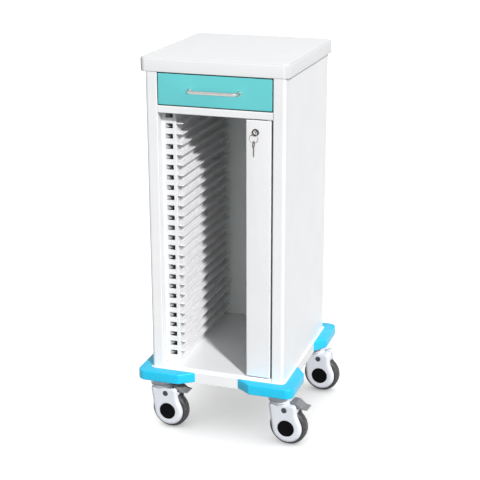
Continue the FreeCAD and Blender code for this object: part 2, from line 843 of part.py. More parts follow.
def lock_cam():
    """Flat bar on the plug's end; it points to the hinge side when unlocked."""
    y0 = cam_y
    radius = cam_width / 2
    bar = box(lock_x, lock_x + cam_length - radius, y0, y0 + cam_thickness,
              lock_z - radius, lock_z + radius)
    end = V(lock_x + cam_length - radius, y0, lock_z)
    bar = bar.fuse([rod(end, end + Y_AXIS * cam_thickness, radius),
                    rod(lock_point(y0), lock_point(y0 + cam_thickness), radius)])
    return bar.removeSplitter()


def flat_key(bow_centre, blade_length, neck):
    """Key in the YZ plane: round bow with a hole, and a blade towards +Y."""
    half = key_thickness / 2
    start = bow_centre - X_AXIS * half
    bow = rod(start, start + X_AXIS * key_thickness, key_bow_radius)
    y_end = bow_centre.y + key_bow_radius + neck + blade_length
    y_notch = y_end - blade_length / 4
    narrow = key_blade_width / 4
    wide = key_blade_width / 2
    z = bow_centre.z
    y_root = bow_centre.y + (key_hole_radius + key_bow_radius) / 2
    outline = [(y_root, z - wide), (y_notch, z - wide), (y_end, z - narrow),
               (y_end, z + narrow), (y_notch, z + wide), (y_root, z + wide)]
    points = [V(start.x, a, b) for a, b in outline]
    blade = prism(points, [0] * len(points), V(key_thickness, 0, 0))
    key = bow.fuse(blade)
    hole = rod(start - X_AXIS * over, start + X_AXIS * (key_thickness + over), key_hole_radius)
    return key.cut(hole).removeSplitter()


def key():
    return lean(flat_key(lock_point(bow_y), key_blade_length - keyway_gap, key_neck))


def key_ring():
    return Part.makeTorus(ring_radius, ring_wire / 2, V(lock_x, bow_y, ring_centre_z), Y_AXIS)


def spare_key():
    hole = V(lock_x, bow_y, spare_hole_z)
    drawn = flat_key(hole, spare_blade_length, 0)
    return drawn.rotate(hole, X_AXIS, -90)


# ---------------------------------------------------------------- casters
# A caster is drawn with its swivel axis on Z and its wheel trailing towards +X.
def place_caster(shape, corner):
    sx, sy = CORNERS[corner]
    turned = shape.rotated(V(0, 0, 0), Z_AXIS, caster_swing)
    return turned.translated(V(sx * caster_x, sy * caster_y, 0))


def from_axle(ahead, above, y=0.0):
    return V(caster_trail + ahead, y, wheel_radius + above)


def across(ahead, above, y0, y1, radius):
    return rod(from_axle(ahead, above, y0), from_axle(ahead, above, y1), radius)


def caster_stem():
    """Swivel head under the base, with the stem that passes through it."""
    collar_top = collar_bottom + collar_height
    collar = rod(V(0, 0, collar_bottom), V(0, 0, collar_top), collar_radius)
    collar = round_edges(collar, collar_edge_radius, at_height(collar_top))
    head = rod(V(0, 0, collar_top), V(0, 0, base_bottom), head_radius)
    stem = rod(V(0, 0, fork_top - stem_in_fork), V(0, 0, base_bottom + stem_in_base), stem_size / 2)
    return collar.fuse([head, stem])


def caster_stems():
    return Part.makeCompound([place_caster(caster_stem(), corner) for corner in CORNERS])


def on_tangent(angle, above):
    """How far ahead a tangent of the cover's disc is at a height above the axle."""
    slope = math.radians(angle)
    return (cover_radius - above * math.sin(slope)) / math.cos(slope)


def tangents_meet(angle_a, angle_b):
    """Where the tangents at two angles of the cover's disc cross."""
    middle = math.radians((angle_a + angle_b) / 2)
    reach = cover_radius / math.cos(math.radians(angle_b - angle_a) / 2)
    return reach * math.cos(middle), reach * math.sin(middle)


def fork_outline():
    """Side view from the axle: a disc over the wheel that runs up into the neck."""
    trailing = 180 + cover_lean
    outline = [(on_tangent(trailing, neck_above), neck_above),
               tangents_meet(trailing, 270), tangents_meet(270, 360),
               tangents_meet(0, cover_shoulder),
               (on_tangent(cover_shoulder, waist_above), waist_above),
               (neck_ahead, neck_above)]
    radii = [fork_corner_radius, cover_radius, cover_radius, cover_radius,
             waist_radius, fork_corner_radius]
    return outline, radii


def neck_ring():
    """Round rim under the collar, with the flare that leads up to it."""
    ring_bottom = fork_top - ring_height
    flare = Part.makeCone(flare_foot_radius, collar_radius, flare_height, V(0, 0, flare_bottom))
    return flare.fuse(rod(V(0, 0, ring_bottom), V(0, 0, fork_top), collar_radius))


def wheel_room():
    """The wheel's slot between the covers, with a hollow inside each cover."""
    room = across(0, 0, -cavity_half, cavity_half, wheel_radius + wheel_clearance)
    pocket_face = cavity_half + cover_pocket
    pockets = across(0, 0, -pocket_face, pocket_face, cover_pocket_radius)
    for sign in (-1, 1):
        boss = across(0, 0, sign * cavity_half, sign * (pocket_face + over), cover_boss_radius)
        pockets = pockets.cut(boss)
    return room.fuse(pockets)


def pedal_room():
    """The open place between the fork's cheeks where the pedal turns, and its bearings."""
    reach = pedal_hub_radius + turning_room
    room = box(caster_trail + pivot_ahead - reach, caster_trail + pedal_reach,
               -cheek_face, cheek_face, pivot_z - reach, fork_top + over)
    bearing = cheek_face + pivot_hold + pedal_gap
    return room.fuse(across(pivot_ahead, pivot_above, -bearing, bearing,
                            pivot_size / 2 + running_gap))


def lug_slot(sign):
    """Upright slot in one side face of the lug."""
    half = lug_slot_width / 2
    run = lug_slot_height / 2 - half
    floor_y = sign * (lug_width / 2 - lug_slot_depth)
    out_y = sign * (lug_width / 2 + over)
    ends = [across(lug_slot_ahead, lug_slot_above + shift, floor_y, out_y, half)
            for shift in (-run, run)]
    ahead = caster_trail + lug_slot_ahead
    above = wheel_radius + lug_slot_above
    middle = box(ahead - half, ahead + half, min(floor_y, out_y), max(floor_y, out_y),
                 above - run, above + run)
    return middle.fuse(ends)


def neck_lug():
    """Lug that stands where the braked forks carry their pedal."""
    left = caster_trail + lug_ahead - lug_radius
    right = caster_trail + lug_ahead + lug_radius
    centre_z = wheel_radius + lug_above
    top = centre_z + lug_radius
    outline = [(left, top), (left, centre_z - lug_foot), (right - lug_radius, centre_z - lug_foot),
               (right, centre_z - lug_radius / 2), (right, top)]
    radii = [lug_radius, lug_edge_radius + over, lug_edge_radius + over, lug_radius, lug_radius]
    lug = side_prism(outline, -lug_width / 2, lug_width / 2, radii)
    lug = round_edges(lug, lug_edge_radius, lambda edge: edge.BoundBox.YLength < 1e-4)
    return lug.cut(lug_slot(-1)).cut(lug_slot(1))


def caster_fork(braked):
    outline, radii = fork_outline()
    placed = [(caster_trail + ahead, wheel_radius + above) for ahead, above in outline]
    body = side_prism(placed, -cover_face, cover_face, radii)
    body = round_edges(body, fork_edge_radius, lambda edge: edge.BoundBox.YLength < 1e-4)
    if not braked:
        body = body.fuse(neck_lug())
    swivel_room = rod(V(0, 0, fork_top), V(0, 0, base_bottom), collar_radius + fork_seam)
    fork = body.cut(swivel_room).fuse(neck_ring()).cut(wheel_room())
    fork = fork.cut(rod(V(0, 0, fork_top - stem_in_fork - stem_end_gap), V(0, 0, fork_top + over),
                        stem_size / 2 + running_gap))
    fork = fork.cut(across(0, 0, -cover_face - over, cover_face + over,
                           axle_size / 2 + running_gap))
    for sign in (-1, 1):
        floor_y = sign * (cover_face - cap_recess)
        out_y = sign * (cover_face + over)
        fork = fork.cut(across(0, 0, floor_y, out_y, hub_cap_radius + cap_gap))
        fork = fork.cut(across(-screw_plug_back, screw_plug_above, floor_y, out_y,
                               screw_plug_radius + cap_gap))
    if braked:
        fork = fork.cut(pedal_room())
    return fork.removeSplitter()


def caster_trim():
    """Caps over the axle's ends, and plugs over the shell screws."""
    pieces = []
    for sign in (-1, 1):
        floor_y = sign * (cover_face - cap_recess)
        outer = sign * (cover_face + hub_cap_proud)
        cap = across(0, 0, floor_y, outer, hub_cap_radius)
        cap = round_edges(cap, hub_cap_edge_radius,
                          lambda edge: abs(edge.BoundBox.YMin - outer) < 1e-4
                          and abs(edge.BoundBox.YMax - outer) < 1e-4)
        pieces.append(cap)
        pieces.append(across(-screw_plug_back, screw_plug_above, floor_y,
                             sign * (cover_face + screw_plug_proud), screw_plug_radius))
    return Part.makeCompound(pieces)


def caster_axle():
    end = cover_face - cap_recess
    return across(0, 0, -end, end, axle_size / 2)


def revolve_about_axle(section):
    """Turn a closed list of (y, radius) points about the wheel's axle."""
    points = [from_axle(0, r, y) for y, r in section]
    face = Part.Face(Part.makePolygon(points + points[:1]))
    return face.revolve(from_axle(0, 0), Y_AXIS, 360)


def wheel_core():
    """Wheel centre: hub, web and rim, turning on the axle."""
    bore = axle_size / 2 + running_gap
    hub_half = cavity_half - core_side_gap
    web = core_web / 2
    rim_half = tyre_width / 2 - rim_lip
    rim = wheel_radius - tyre_depth
    inner_rim = rim - core_rim
    half_section = [(hub_half, bore), (hub_half, core_hub_radius), (web, core_hub_radius + core_draft),
                    (web, inner_rim - core_draft), (rim_half, inner_rim), (rim_half, rim)]
    other_half = [(-y, r) for y, r in reversed(half_section)]
    return revolve_about_axle(half_section + other_half)


def tyre():
    """Solid tyre with rounded shoulders, bonded to the core's rim."""
    half = tyre_width / 2
    foot_half = half - rim_lip
    rim = wheel_radius - tyre_depth
    shoulder = half - tyre_shoulder
    diagonal = tyre_shoulder * math.sqrt(0.5)
    right_mid = from_axle(0, wheel_radius - tyre_shoulder + diagonal, shoulder + diagonal)
    left_mid = from_axle(0, wheel_radius - tyre_shoulder + diagonal, -shoulder - diagonal)
    points = [from_axle(0, rim, -foot_half), from_axle(0, rim, foot_half),
              from_axle(0, wheel_radius - tyre_shoulder, half), from_axle(0, wheel_radius, shoulder),
              from_axle(0, wheel_radius, -shoulder), from_axle(0, wheel_radius - tyre_shoulder, -half)]
    section = Part.Wire([
        Part.makeLine(points[0], points[1]),
        Part.makeLine(points[1], points[2]),
        Part.Arc(points[2], right_mid, points[3]).toShape(),
        Part.makeLine(points[3], points[4]),
        Part.Arc(points[4], left_mid, points[5]).toShape(),
        Part.makeLine(points[5], points[0]),
    ])
    return Part.Face(section).revolve(from_axle(0, 0), Y_AXIS, 360)


def pedal_outline():
    """Side view from the axle, from the tail beside the collar round to the tip."""
    under = pedal_tip_above - pedal_thickness
    outline = [(pedal_tail_ahead, pedal_tail_above), (pivot_ahead, pedal_tail_above),
               (pedal_throat_ahead, pedal_throat_above), (pedal_under_ahead, under),
               (pedal_reach, under), (pedal_reach, pedal_tip_above),
               (pedal_dip_ahead, pedal_dip_above), (pedal_crest_ahead, pedal_crest_above),
               (pedal_tail_ahead, pedal_crest_above)]
    radii = [1, 1, 3, 8, 1, 1, pedal_scoop_radius, 4, 2]
    return outline, radii


def brake_pedal():
    """Foot pedal that turns on its trunnions between the fork's cheeks."""
    half = pedal_width / 2
    outline, radii = pedal_outline()
    placed = [(caster_trail + ahead, wheel_radius + above) for ahead, above in outline]
    pedal = side_prism(placed, -half, half, radii)
    bearing = cheek_face + pivot_hold
    pedal = pedal.fuse([across(pivot_ahead, pivot_above, -half, half, pedal_hub_radius),
                        across(pivot_ahead, pivot_above, -bearing, bearing, pivot_size / 2)])
    return pedal.removeSplitter()


# ---------------------------------------------------------------- all the pieces
def all_pieces():
    pieces = {
        "worktop": worktop(),
        "cabinet_top": cabinet_top(),
        "back_panel": back_panel(),
        "front_rail": front_rail(),
        "drawer_bay": drawer_bay(),
        "compartment_floor": compartment_floor(),
        "base_pan": base_pan(),
        "drawer_front": drawer_front(),
        "drawer_tray": drawer_tray(),
        "drawer_handle": drawer_handle(),
        "handle_screws": handle_screws(),
        "flap_panel": flap_panel(),
        "flap_hinge_pins": flap_hinge_pins(),
        "flap_hinge_bushes": flap_hinge_bushes(),
        "lock_housing": lock_housing(),
        "lock_nut": lock_nut(),
        "lock_plug": lock_plug(),
        "lock_cam": lock_cam(),
        "key": key(),
        "key_ring": key_ring(),
        "spare_key": spare_key(),
        "caster_stems": caster_stems(),
    }
    for name, side in SIDES.items():
        pieces["side_panel_" + name] = side_panel(side)
        pieces["rack_panel_" + name] = rack_panel(side)
        pieces["chart_ledges_" + name] = chart_ledges(side)
        pieces["slide_outer_" + name] = slide_outer(side)
        pieces["slide_middle_" + name] = slide_middle(side)
        pieces["slide_inner_" + name] = slide_inner(side)
    for corner, (sx, sy) in CORNERS.items():
        braked = corner in BRAKED
        pieces["bumper_" + corner] = bumper(sx, sy)
        pieces["caster_fork_" + corner] = place_caster(caster_fork(braked), corner)
        pieces["caster_trim_" + corner] = place_caster(caster_trim(), corner)
        pieces["caster_axle_" + corner] = place_caster(caster_axle(), corner)
        pieces["wheel_core_" + corner] = place_caster(wheel_core(), corner)
        pieces["tyre_" + corner] = place_caster(tyre(), corner)
        if braked:
            pieces["brake_pedal_" + corner] = place_caster(brake_pedal(), corner)
    return pieces


def main():
    os.makedirs("parts", exist_ok=True)
    for name, shape in all_pieces().items():
        shape.translated(plan_shift).exportStep("parts/" + name + ".step")


main()
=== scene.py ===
import json
import logging
import math
from collections.abc import Iterable, Sequence
from dataclasses import dataclass
from enum import Enum

import bmesh
import bpy
from mathutils import Matrix, Vector


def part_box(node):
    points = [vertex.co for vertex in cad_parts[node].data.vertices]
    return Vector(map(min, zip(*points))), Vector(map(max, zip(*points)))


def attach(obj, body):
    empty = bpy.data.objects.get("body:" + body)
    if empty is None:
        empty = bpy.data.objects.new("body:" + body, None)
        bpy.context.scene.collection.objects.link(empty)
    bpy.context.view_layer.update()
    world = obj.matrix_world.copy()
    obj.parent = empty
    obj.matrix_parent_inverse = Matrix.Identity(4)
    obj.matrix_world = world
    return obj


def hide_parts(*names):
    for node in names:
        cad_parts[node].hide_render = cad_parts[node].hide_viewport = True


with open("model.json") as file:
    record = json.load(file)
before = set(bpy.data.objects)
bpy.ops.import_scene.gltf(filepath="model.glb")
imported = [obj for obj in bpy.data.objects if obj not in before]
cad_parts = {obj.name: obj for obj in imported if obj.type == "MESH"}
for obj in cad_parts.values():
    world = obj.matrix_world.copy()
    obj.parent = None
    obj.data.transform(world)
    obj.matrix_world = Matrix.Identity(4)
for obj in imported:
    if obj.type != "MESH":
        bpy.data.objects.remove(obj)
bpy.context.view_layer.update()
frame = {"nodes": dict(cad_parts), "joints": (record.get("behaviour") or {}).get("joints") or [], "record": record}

# A rolling rack for patient charts: worktop, folded steel cabinet, chart rack,
# drawer, lockable flap, bumpers and casters. Lengths in this script are
# millimetres; each mesh becomes metres as it is finished.

log = logging.getLogger("chart_rack")

MM = 0.001
MERGE = 1e-4                     # points nearer than this, in millimetres, are one
WELD = 1e-6                      # the same for finished meshes, in metres
ARC_STEP = math.radians(7.5)     # longest turn between two points of an arc
SMOOTH_LIMIT = math.radians(35)  # edges that turn more than this are hard
RIM_STEPS = 8                    # flats in the rounding of a pillow's rim
ROUND_STEPS = 96                 # flats of a large round
SMALL_STEPS = 48                 # flats of a small round
ORIGIN = (0.0, 0.0, 0.0)
FULL = (0.0, 1.0)                # from none to full
NOISE_SPAN = (0.3, 0.7)          # where nearly all values of a noise lie

Point2 = tuple[float, float]
Colour = tuple[float, float, float]
Socket = bpy.types.NodeSocket
Piece = bpy.types.Object
Feeds = dict[str | int, object]  # values and sockets, by the name or place of their input

CORNERS = {
    "front_left": (-1, -1),
    "front_right": (1, -1),
    "rear_left": (-1, 1),
    "rear_right": (1, 1),
}
BRAKED = ("front_left", "front_right")


# ------------------------------------------------------------------- places
class Side(Enum):
    """A side of the rack, with its sign along X."""

    LEFT = -1
    RIGHT = 1

    def named(self, stem: str) -> str:
        """The name of this side's piece or node."""
        return f"{stem}_{self.name.lower()}"

    def turned(self, outline: Iterable[Point2]) -> list[Point2]:
        """Puts an outline that is drawn for the left side on this side."""
        return [(-self.value * a, b) for a, b in outline]


@dataclass(frozen=True)
class Extent:
    """Box of a CAD node at rest, in millimetres."""

    x0: float
    y0: float
    z0: float
    x1: float
    y1: float
    z1: float

    @classmethod
    def of(cls, node: str) -> "Extent":
        """Reads a node's box from the frame."""
        low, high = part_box(node)
        return cls(*(low / MM), *(high / MM))

    @property
    def half(self) -> float:
        """Half of its width."""
        return (self.x1 - self.x0) / 2

    @property
    def middle(self) -> float:
        """Its middle from left to right."""
        return (self.x0 + self.x1) / 2


def joint_place(name: str) -> Vector:
    """Finds where a joint turns, in millimetres."""
    joint = next(entry for entry in frame["joints"] if entry["name"] == name)
    return Vector(joint["pos_m"]) / MM


def body_of(node: str) -> str:
    """Finds the body that carries a CAD node."""
    bodies = frame["record"]["behaviour"]["bodies"]
    return next(body for body, members in bodies.items() if node in members)


def slot_of(node: str) -> str:
    """Finds the material slot of a CAD node."""
    subparts = frame["record"]["subparts"]
    return next(entry["material_slot"] for entry in subparts if entry["node"] == node)


@dataclass(frozen=True)
class Carcass:
    """Places that the sub-assemblies share, with x measured from the cabinet's middle."""

    middle: float
    half_width: float
    opening_half: float
    front: float
    rear: float
    fold_back: float
    base_bottom: float
    base_top: float
    bay_floor: float
    rail_bottom: float
    top: float

    @classmethod
    def from_frame(cls) -> "Carcass":
        """Reads the shared places from the frame's side panels, rail, floor and base.

        Returns:
            The places.
        """
        left, right = Extent.of("side_panel_left"), Extent.of("side_panel_right")
        rail, base = Extent.of("front_rail"), Extent.of("base_pan")
        middle = (left.x0 + right.x1) / 2
        return cls(
            middle=middle,
            half_width=(right.x1 - left.x0) / 2,
            opening_half=middle - left.x1,
            front=left.y0,
            rear=left.y1,
            fold_back=rail.y1,
            base_bottom=base.z0,
            base_top=base.z1,
            bay_floor=Extent.of("compartment_floor").z1,
            rail_bottom=rail.z0,
            top=left.z1,
        )


# ----------------------------------------------------------------- finishes
def feed(tree: bpy.types.NodeTree, node: bpy.types.Node, inputs: Feeds) -> None:
    """Sets a node's inputs, or links them where a socket is given.

    Args:
        tree: the node's tree.
        node: the node.
        inputs: the values and sockets.
    """
    for key, value in inputs.items():
        if isinstance(value, Socket):
            tree.links.new(value, node.inputs[key])
        else:
            node.inputs[key].default_value = value


def add_node(tree: bpy.types.NodeTree, kind: str, inputs: Feeds | None = None,
             **settings: object) -> bpy.types.Node:
    """Adds a node to a tree.

    Args:
        tree: the tree.
        kind: the node's type.
        inputs: values and sockets for its inputs.
        settings: the node's own settings.

    Returns:
        The node.
    """
    node = tree.nodes.new(kind)
    for name, value in settings.items():
        setattr(node, name, value)
    feed(tree, node, inputs or {})
    return node


class Graph:
    """A material's node tree, wired from code, with a Principled shader at its end."""

    EDGE_SAMPLES = 4
    GAP_SAMPLES = 12
    GAP_LIGHT = (0.5, 0.15)  # open share of the surroundings, from a gap's mouth to its depth
    SLANT = (0.95, 0.6)      # sum of the normal's fourth powers, which is 1 on a square face

    def __init__(self, name: str) -> None:
        """Starts the material.

        Args:
            name: name of the material.
        """
        self.material = bpy.data.materials.new(name)
        self.material.use_nodes = True
        self.tree = self.material.node_tree
        self.tree.nodes.clear()
        self.shader = self.add("ShaderNodeBsdfPrincipled")
        self.output = self.add("ShaderNodeOutputMaterial", {"Surface": self.shader.outputs["BSDF"]})
        self.place = self.add("ShaderNodeTexCoord").outputs["Object"]

    def add(self, kind: str, inputs: Feeds | None = None, **settings: object) -> bpy.types.Node:
        """Adds a node to the material, as add_node does."""
        return add_node(self.tree, kind, inputs, **settings)

    def noise(self, size: float, detail: float = 2.0, stretch: Colour = (1.0, 1.0, 1.0)) -> Socket:
        """Adds noise over the object's own coordinates.

        Args:
            size: size of its blotches, in millimetres.
            detail: octaves of finer noise.
            stretch: how much denser it is along each axis.

        Returns:
            The noise's value, about 0.5 in the middle.
        """
        mapping = self.add("ShaderNodeMapping", {"Scale": stretch, "Vector": self.place})
        noise = self.add("ShaderNodeTexNoise", {"Scale": 1 / (size * MM), "Detail": detail,
                                                "Vector": mapping.outputs["Vector"]})
        return noise.outputs["Fac"]

    def ramp(self, value: Socket, source: Point2, target: Point2 = FULL) -> Socket:
        """Maps a value from one range to another, and holds it there.

        Args:
            value: the value that is mapped.
            source: the range that it is read over.
            target: the range that comes out.

        Returns:
            The mapped value.
        """
        node = self.add("ShaderNodeMapRange", {
            "Value": value, "From Min": source[0], "From Max": source[1],
            "To Min": target[0], "To Max": target[1]})
        return node.outputs["Result"]

    def tint(self, factor: Socket, dark: Colour, light: Colour) -> Socket:
        """Blends two colours.

        Args:
            factor: 0 for the first colour, 1 for the second.
            dark: the first colour.
            light: the second colour.

        Returns:
            The blended colour.
        """
        ramp = self.add("ShaderNodeValToRGB", {"Fac": factor})
        for element, colour in zip(ramp.color_ramp.elements, (dark, light)):
            element.color = (*colour, 1.0)
        return ramp.outputs["Color"]

    def over(self, factor: Socket, under: Socket, colour: Colour) -> Socket:
        """Lays one colour over another where a factor is 1, by the mix node's colour sockets."""
        layers = {0: factor, 6: under, 7: (*colour, 1.0)}
        return self.add("ShaderNodeMix", layers, data_type="RGBA").outputs[2]

    def vector(self, operation: str, first: Socket, second: Socket) -> bpy.types.Node:
        """Adds an operation on two vectors."""
        return self.add("ShaderNodeVectorMath", {0: first, 1: second}, operation=operation)

    def times(self, first: Socket, second: Socket) -> Socket:
        """Multiplies two values."""
        node = self.add("ShaderNodeMath", {0: first, 1: second}, operation="MULTIPLY")
        return node.outputs["Value"]

    def edges(self, radius: float, reach: Point2) -> Socket:
        """Finds where the surface turns sharply.

        Args:
            radius: how far from an edge it is felt, in millimetres.
            reach: how far the rounded normal leans from the true one, from none to full.

        Returns:
            1 along the edges and 0 on the flats.
        """
        rounded = self.add("ShaderNodeBevel", {"Radius": radius * MM}, samples=self.EDGE_SAMPLES)
        true = self.add("ShaderNodeNewGeometry").outputs["Normal"]
        dot = self.vector("DOT_PRODUCT", rounded.outputs["Normal"], true).outputs["Value"]
        return self.ramp(dot, (1 - reach[0], 1 - reach[1]))

    def slants(self) -> Socket:
        """Finds the roundings between faces square to the axes.

        Returns:
            1 on the roundings and 0 elsewhere.
        """
        normal = self.add("ShaderNodeNewGeometry").outputs["Normal"]
        squares = self.vector("MULTIPLY", normal, normal).outputs["Vector"]
        return self.ramp(self.vector("DOT_PRODUCT", squares, squares).outputs["Value"], self.SLANT)

    def gap_shade_mask(self, reach: float) -> Socket:
        """Finds where other surfaces stand within a reach: 1 deep in a gap, 0 in the open; it masks the painted
        shade in gaps.
        """
        shelter = self.add("ShaderNodeAmbientOcclusion", {"Distance": reach * MM},
                           samples=self.GAP_SAMPLES)
        return self.ramp(shelter.outputs["AO"], self.GAP_LIGHT)


@dataclass(frozen=True)
class Grain:
    """A surface's fine relief: size, octaves, depth, how strongly it is felt, and stretch."""

    size: float
    detail: float
    depth: float
    strength: float
    stretch: Colour = (1.0, 1.0, 1.0)


@dataclass(frozen=True)
class Wear:
    """Worn edges: how wide, from what turn on, and the patches that they come in."""

    radius: float
    reach: Point2
    patch_size: float
    patch_detail: float
    patch_span: Point2
    most: float


@dataclass(frozen=True)
class Finish:
    """What every finish has: its colour, and how even, how smooth and how glossy it is."""

    name: str
    colour: Colour
    roughness: float = 0.45
    tone_shift: float = 0.04
    cloud_size: float = 90.0
    specular: float = 0.5
    metallic: float = 0.0
    coat: float = 0.0
    coat_roughness: float = 0.25
    smear_spread: float = 0.06
    smear_size: float = 30.0
    grain: Grain = Grain(1.0, 2.0, 0.02, 0.3)

    CLOUD_OCTAVES = 3.0
    SMEAR_OCTAVES = 4.0

    def shade(self, amount: float) -> Colour:
        """The finish's colour, made darker or lighter by a share."""
        return tuple(min(1.0, part * (1 + amount)) for part in self.colour)

    def clouds(self, graph: Graph) -> Socket:
        """Adds the finish's colour with faint clouds of tone."""
        value = graph.ramp(graph.noise(self.cloud_size, self.CLOUD_OCTAVES), NOISE_SPAN)
        return graph.tint(value, self.shade(-self.tone_shift), self.shade(self.tone_shift / 2))

    def worn(self, graph: Graph, wear: Wear, shift: float) -> Socket:
        """Adds the clouded colour with worn edges; on the ledges, the lighter edges are a painted highlight.

        Args:
            graph: the material that gets them.
            wear: how the edges are worn.
            shift: how much lighter or darker they are.

        Returns:
            The colour.
        """
        patches = graph.noise(wear.patch_size, wear.patch_detail)
        patch = graph.ramp(patches, wear.patch_span, (0.0, wear.most))
        rubbed = graph.times(graph.edges(wear.radius, wear.reach), patch)
        return graph.over(rubbed, self.clouds(graph), self.shade(shift))

    def smears(self, graph: Graph) -> Socket:
        """Adds a roughness that wanders up and down in smears."""
        span = (self.roughness - self.smear_spread, self.roughness + self.smear_spread)
        return graph.ramp(graph.noise(self.smear_size, self.SMEAR_OCTAVES), NOISE_SPAN, span)

    def relief(self, graph: Graph) -> Socket:
        """Adds the normal that the grain gives the surface.

        Args:
            graph: the material that gets it.

        Returns:
            The normal.
        """
        grain = self.grain
        node = graph.add("ShaderNodeBump", {
            "Strength": grain.strength, "Distance": grain.depth * MM,
            "Height": graph.noise(grain.size, grain.detail, grain.stretch)})
        return node.outputs["Normal"]

    def material(self) -> bpy.types.Material:
        """Builds the finish as a material.

        Returns:
            The material.
        """
        graph = Graph(self.name)
        feed(graph.tree, graph.shader, {
            "Base Color": self.tone(graph),
            "Roughness": self.smears(graph),
            "Normal": self.relief(graph),
            "Metallic": self.metallic,
            "Specular IOR Level": self.specular,
            "Coat Weight": self.coat,
            "Coat Roughness": self.coat_roughness,
        })
        return graph.material

    def tone(self, graph: Graph) -> Socket:
        """Adds the colour; a plain finish has its clouds alone."""
        return self.clouds(graph)


@dataclass(frozen=True)
class PowderCoat(Finish):
    """Baked powder coat: a fine orange peel, rubbed edges, and painted shade that darkens the narrow gaps."""

    specular: float = 0.45
    grain: Grain = Grain(1.3, 1.0, 0.03, 0.35)
    wear: Wear = Wear(1.0, (0.05, 0.35), 7.0, 3.0, (0.4, 0.62), 0.8)
    # edges darker as wear; on the ledges lighter, as a painted highlight
    edge_wear_and_highlight: float = -0.1
    gap_reach: float = 10.0
    # colour that the narrow gaps darken towards: painted shade
    painted_gap_shade: Colour = (0.05, 0.05, 0.05)

    def tone(self, graph: Graph) -> Socket:
        """Adds the coat's colour, with its edges and the painted shade in its gaps."""
        colour = self.worn(graph, self.wear, self.edge_wear_and_highlight)
        # painted shade: the colour darkens in gaps where other surfaces stand close
        return graph.over(graph.gap_shade_mask(self.gap_reach), colour, self.painted_gap_shade)


@dataclass(frozen=True)
class MouldedPlastic(Finish):
    """Moulded plastic: a fine eroded grain, faint flow clouds and scuffed edges."""

    smear_spread: float = 0.08
    smear_size: float = 18.0
    grain: Grain = Grain(0.7, 2.0, 0.02, 0.3)
    wear: Wear = Wear(1.6, (0.04, 0.4), 4.0, 4.0, (0.45, 0.68), 0.9)
    scuff: float = 0.12
    # share by which the rounded rims darken: painted shade that dims their highlight
    rim_painted_shade: float = 0.0

    def tone(self, graph: Graph) -> Socket:
        """Adds the plastic's colour, with its scuffs and painted shade that darkens its rounded rims.

        Args:
            graph: the material that gets it.

        Returns:
            The colour.
        """
        colour = self.worn(graph, self.wear, self.scuff)
        if self.rim_painted_shade:
            colour = graph.over(graph.slants(), colour, self.shade(self.rim_painted_shade))
        return colour


@dataclass(frozen=True)
class PolishedMetal(Finish):
    """Plated metal: handling smears and hairline polishing marks."""

    metallic: float = 1.0
    smear_spread: float = 0.05
    smear_size: float = 9.0
    grain: Grain = Grain(2.0, 3.0, 0.004, 0.25, (1.0, 1.0, 12.0))


@dataclass(frozen=True)
class ZincPlate(Finish):
    """Bright zinc plate: spangles of tone and a dull bloom."""

    metallic: float = 1.0
    smear_spread: float = 0.1
    smear_size: float = 6.0
    grain: Grain = Grain(0.8, 2.0, 0.01, 0.2)
    spangle_size: float = 3.0

    def tone(self, graph: Graph) -> Socket:
        """Adds the plate's colour, in spangles.

        Args:
            graph: the material that gets it.

        Returns:
            The colour.
        """
        cells = graph.add("ShaderNodeTexVoronoi",
                          {"Scale": 1 / (self.spangle_size * MM), "Vector": graph.place})
        parts = graph.add("ShaderNodeSeparateColor", {"Color": cells.outputs["Color"]})
        dark, light = self.shade(-self.tone_shift), self.shade(self.tone_shift)
        return graph.tint(parts.outputs["Red"], dark, light)


@dataclass(frozen=True)
class TreadRubber(Finish):
    """Tyre rubber: matt, faintly pitted, with pale floor dust in patches."""

    smear_spread: float = 0.1
    smear_size: float = 12.0
    grain: Grain = Grain(0.5, 3.0, 0.03, 0.4)
    dust: Colour = (0.22, 0.215, 0.21)
    dust_size: float = 5.0
    dust_octaves: float = 5.0
    dust_span: Point2 = (0.5, 0.72)
    dust_most: float = 0.35

    def tone(self, graph: Graph) -> Socket:
        """Adds the rubber's colour, with its dust.

        Args:
            graph: the material that gets it.

        Returns:
            The colour.
        """
        patches = graph.noise(self.dust_size, self.dust_octaves)
        dust = graph.ramp(patches, self.dust_span, (0.0, self.dust_most))
        return graph.over(dust, self.clouds(graph), self.dust)


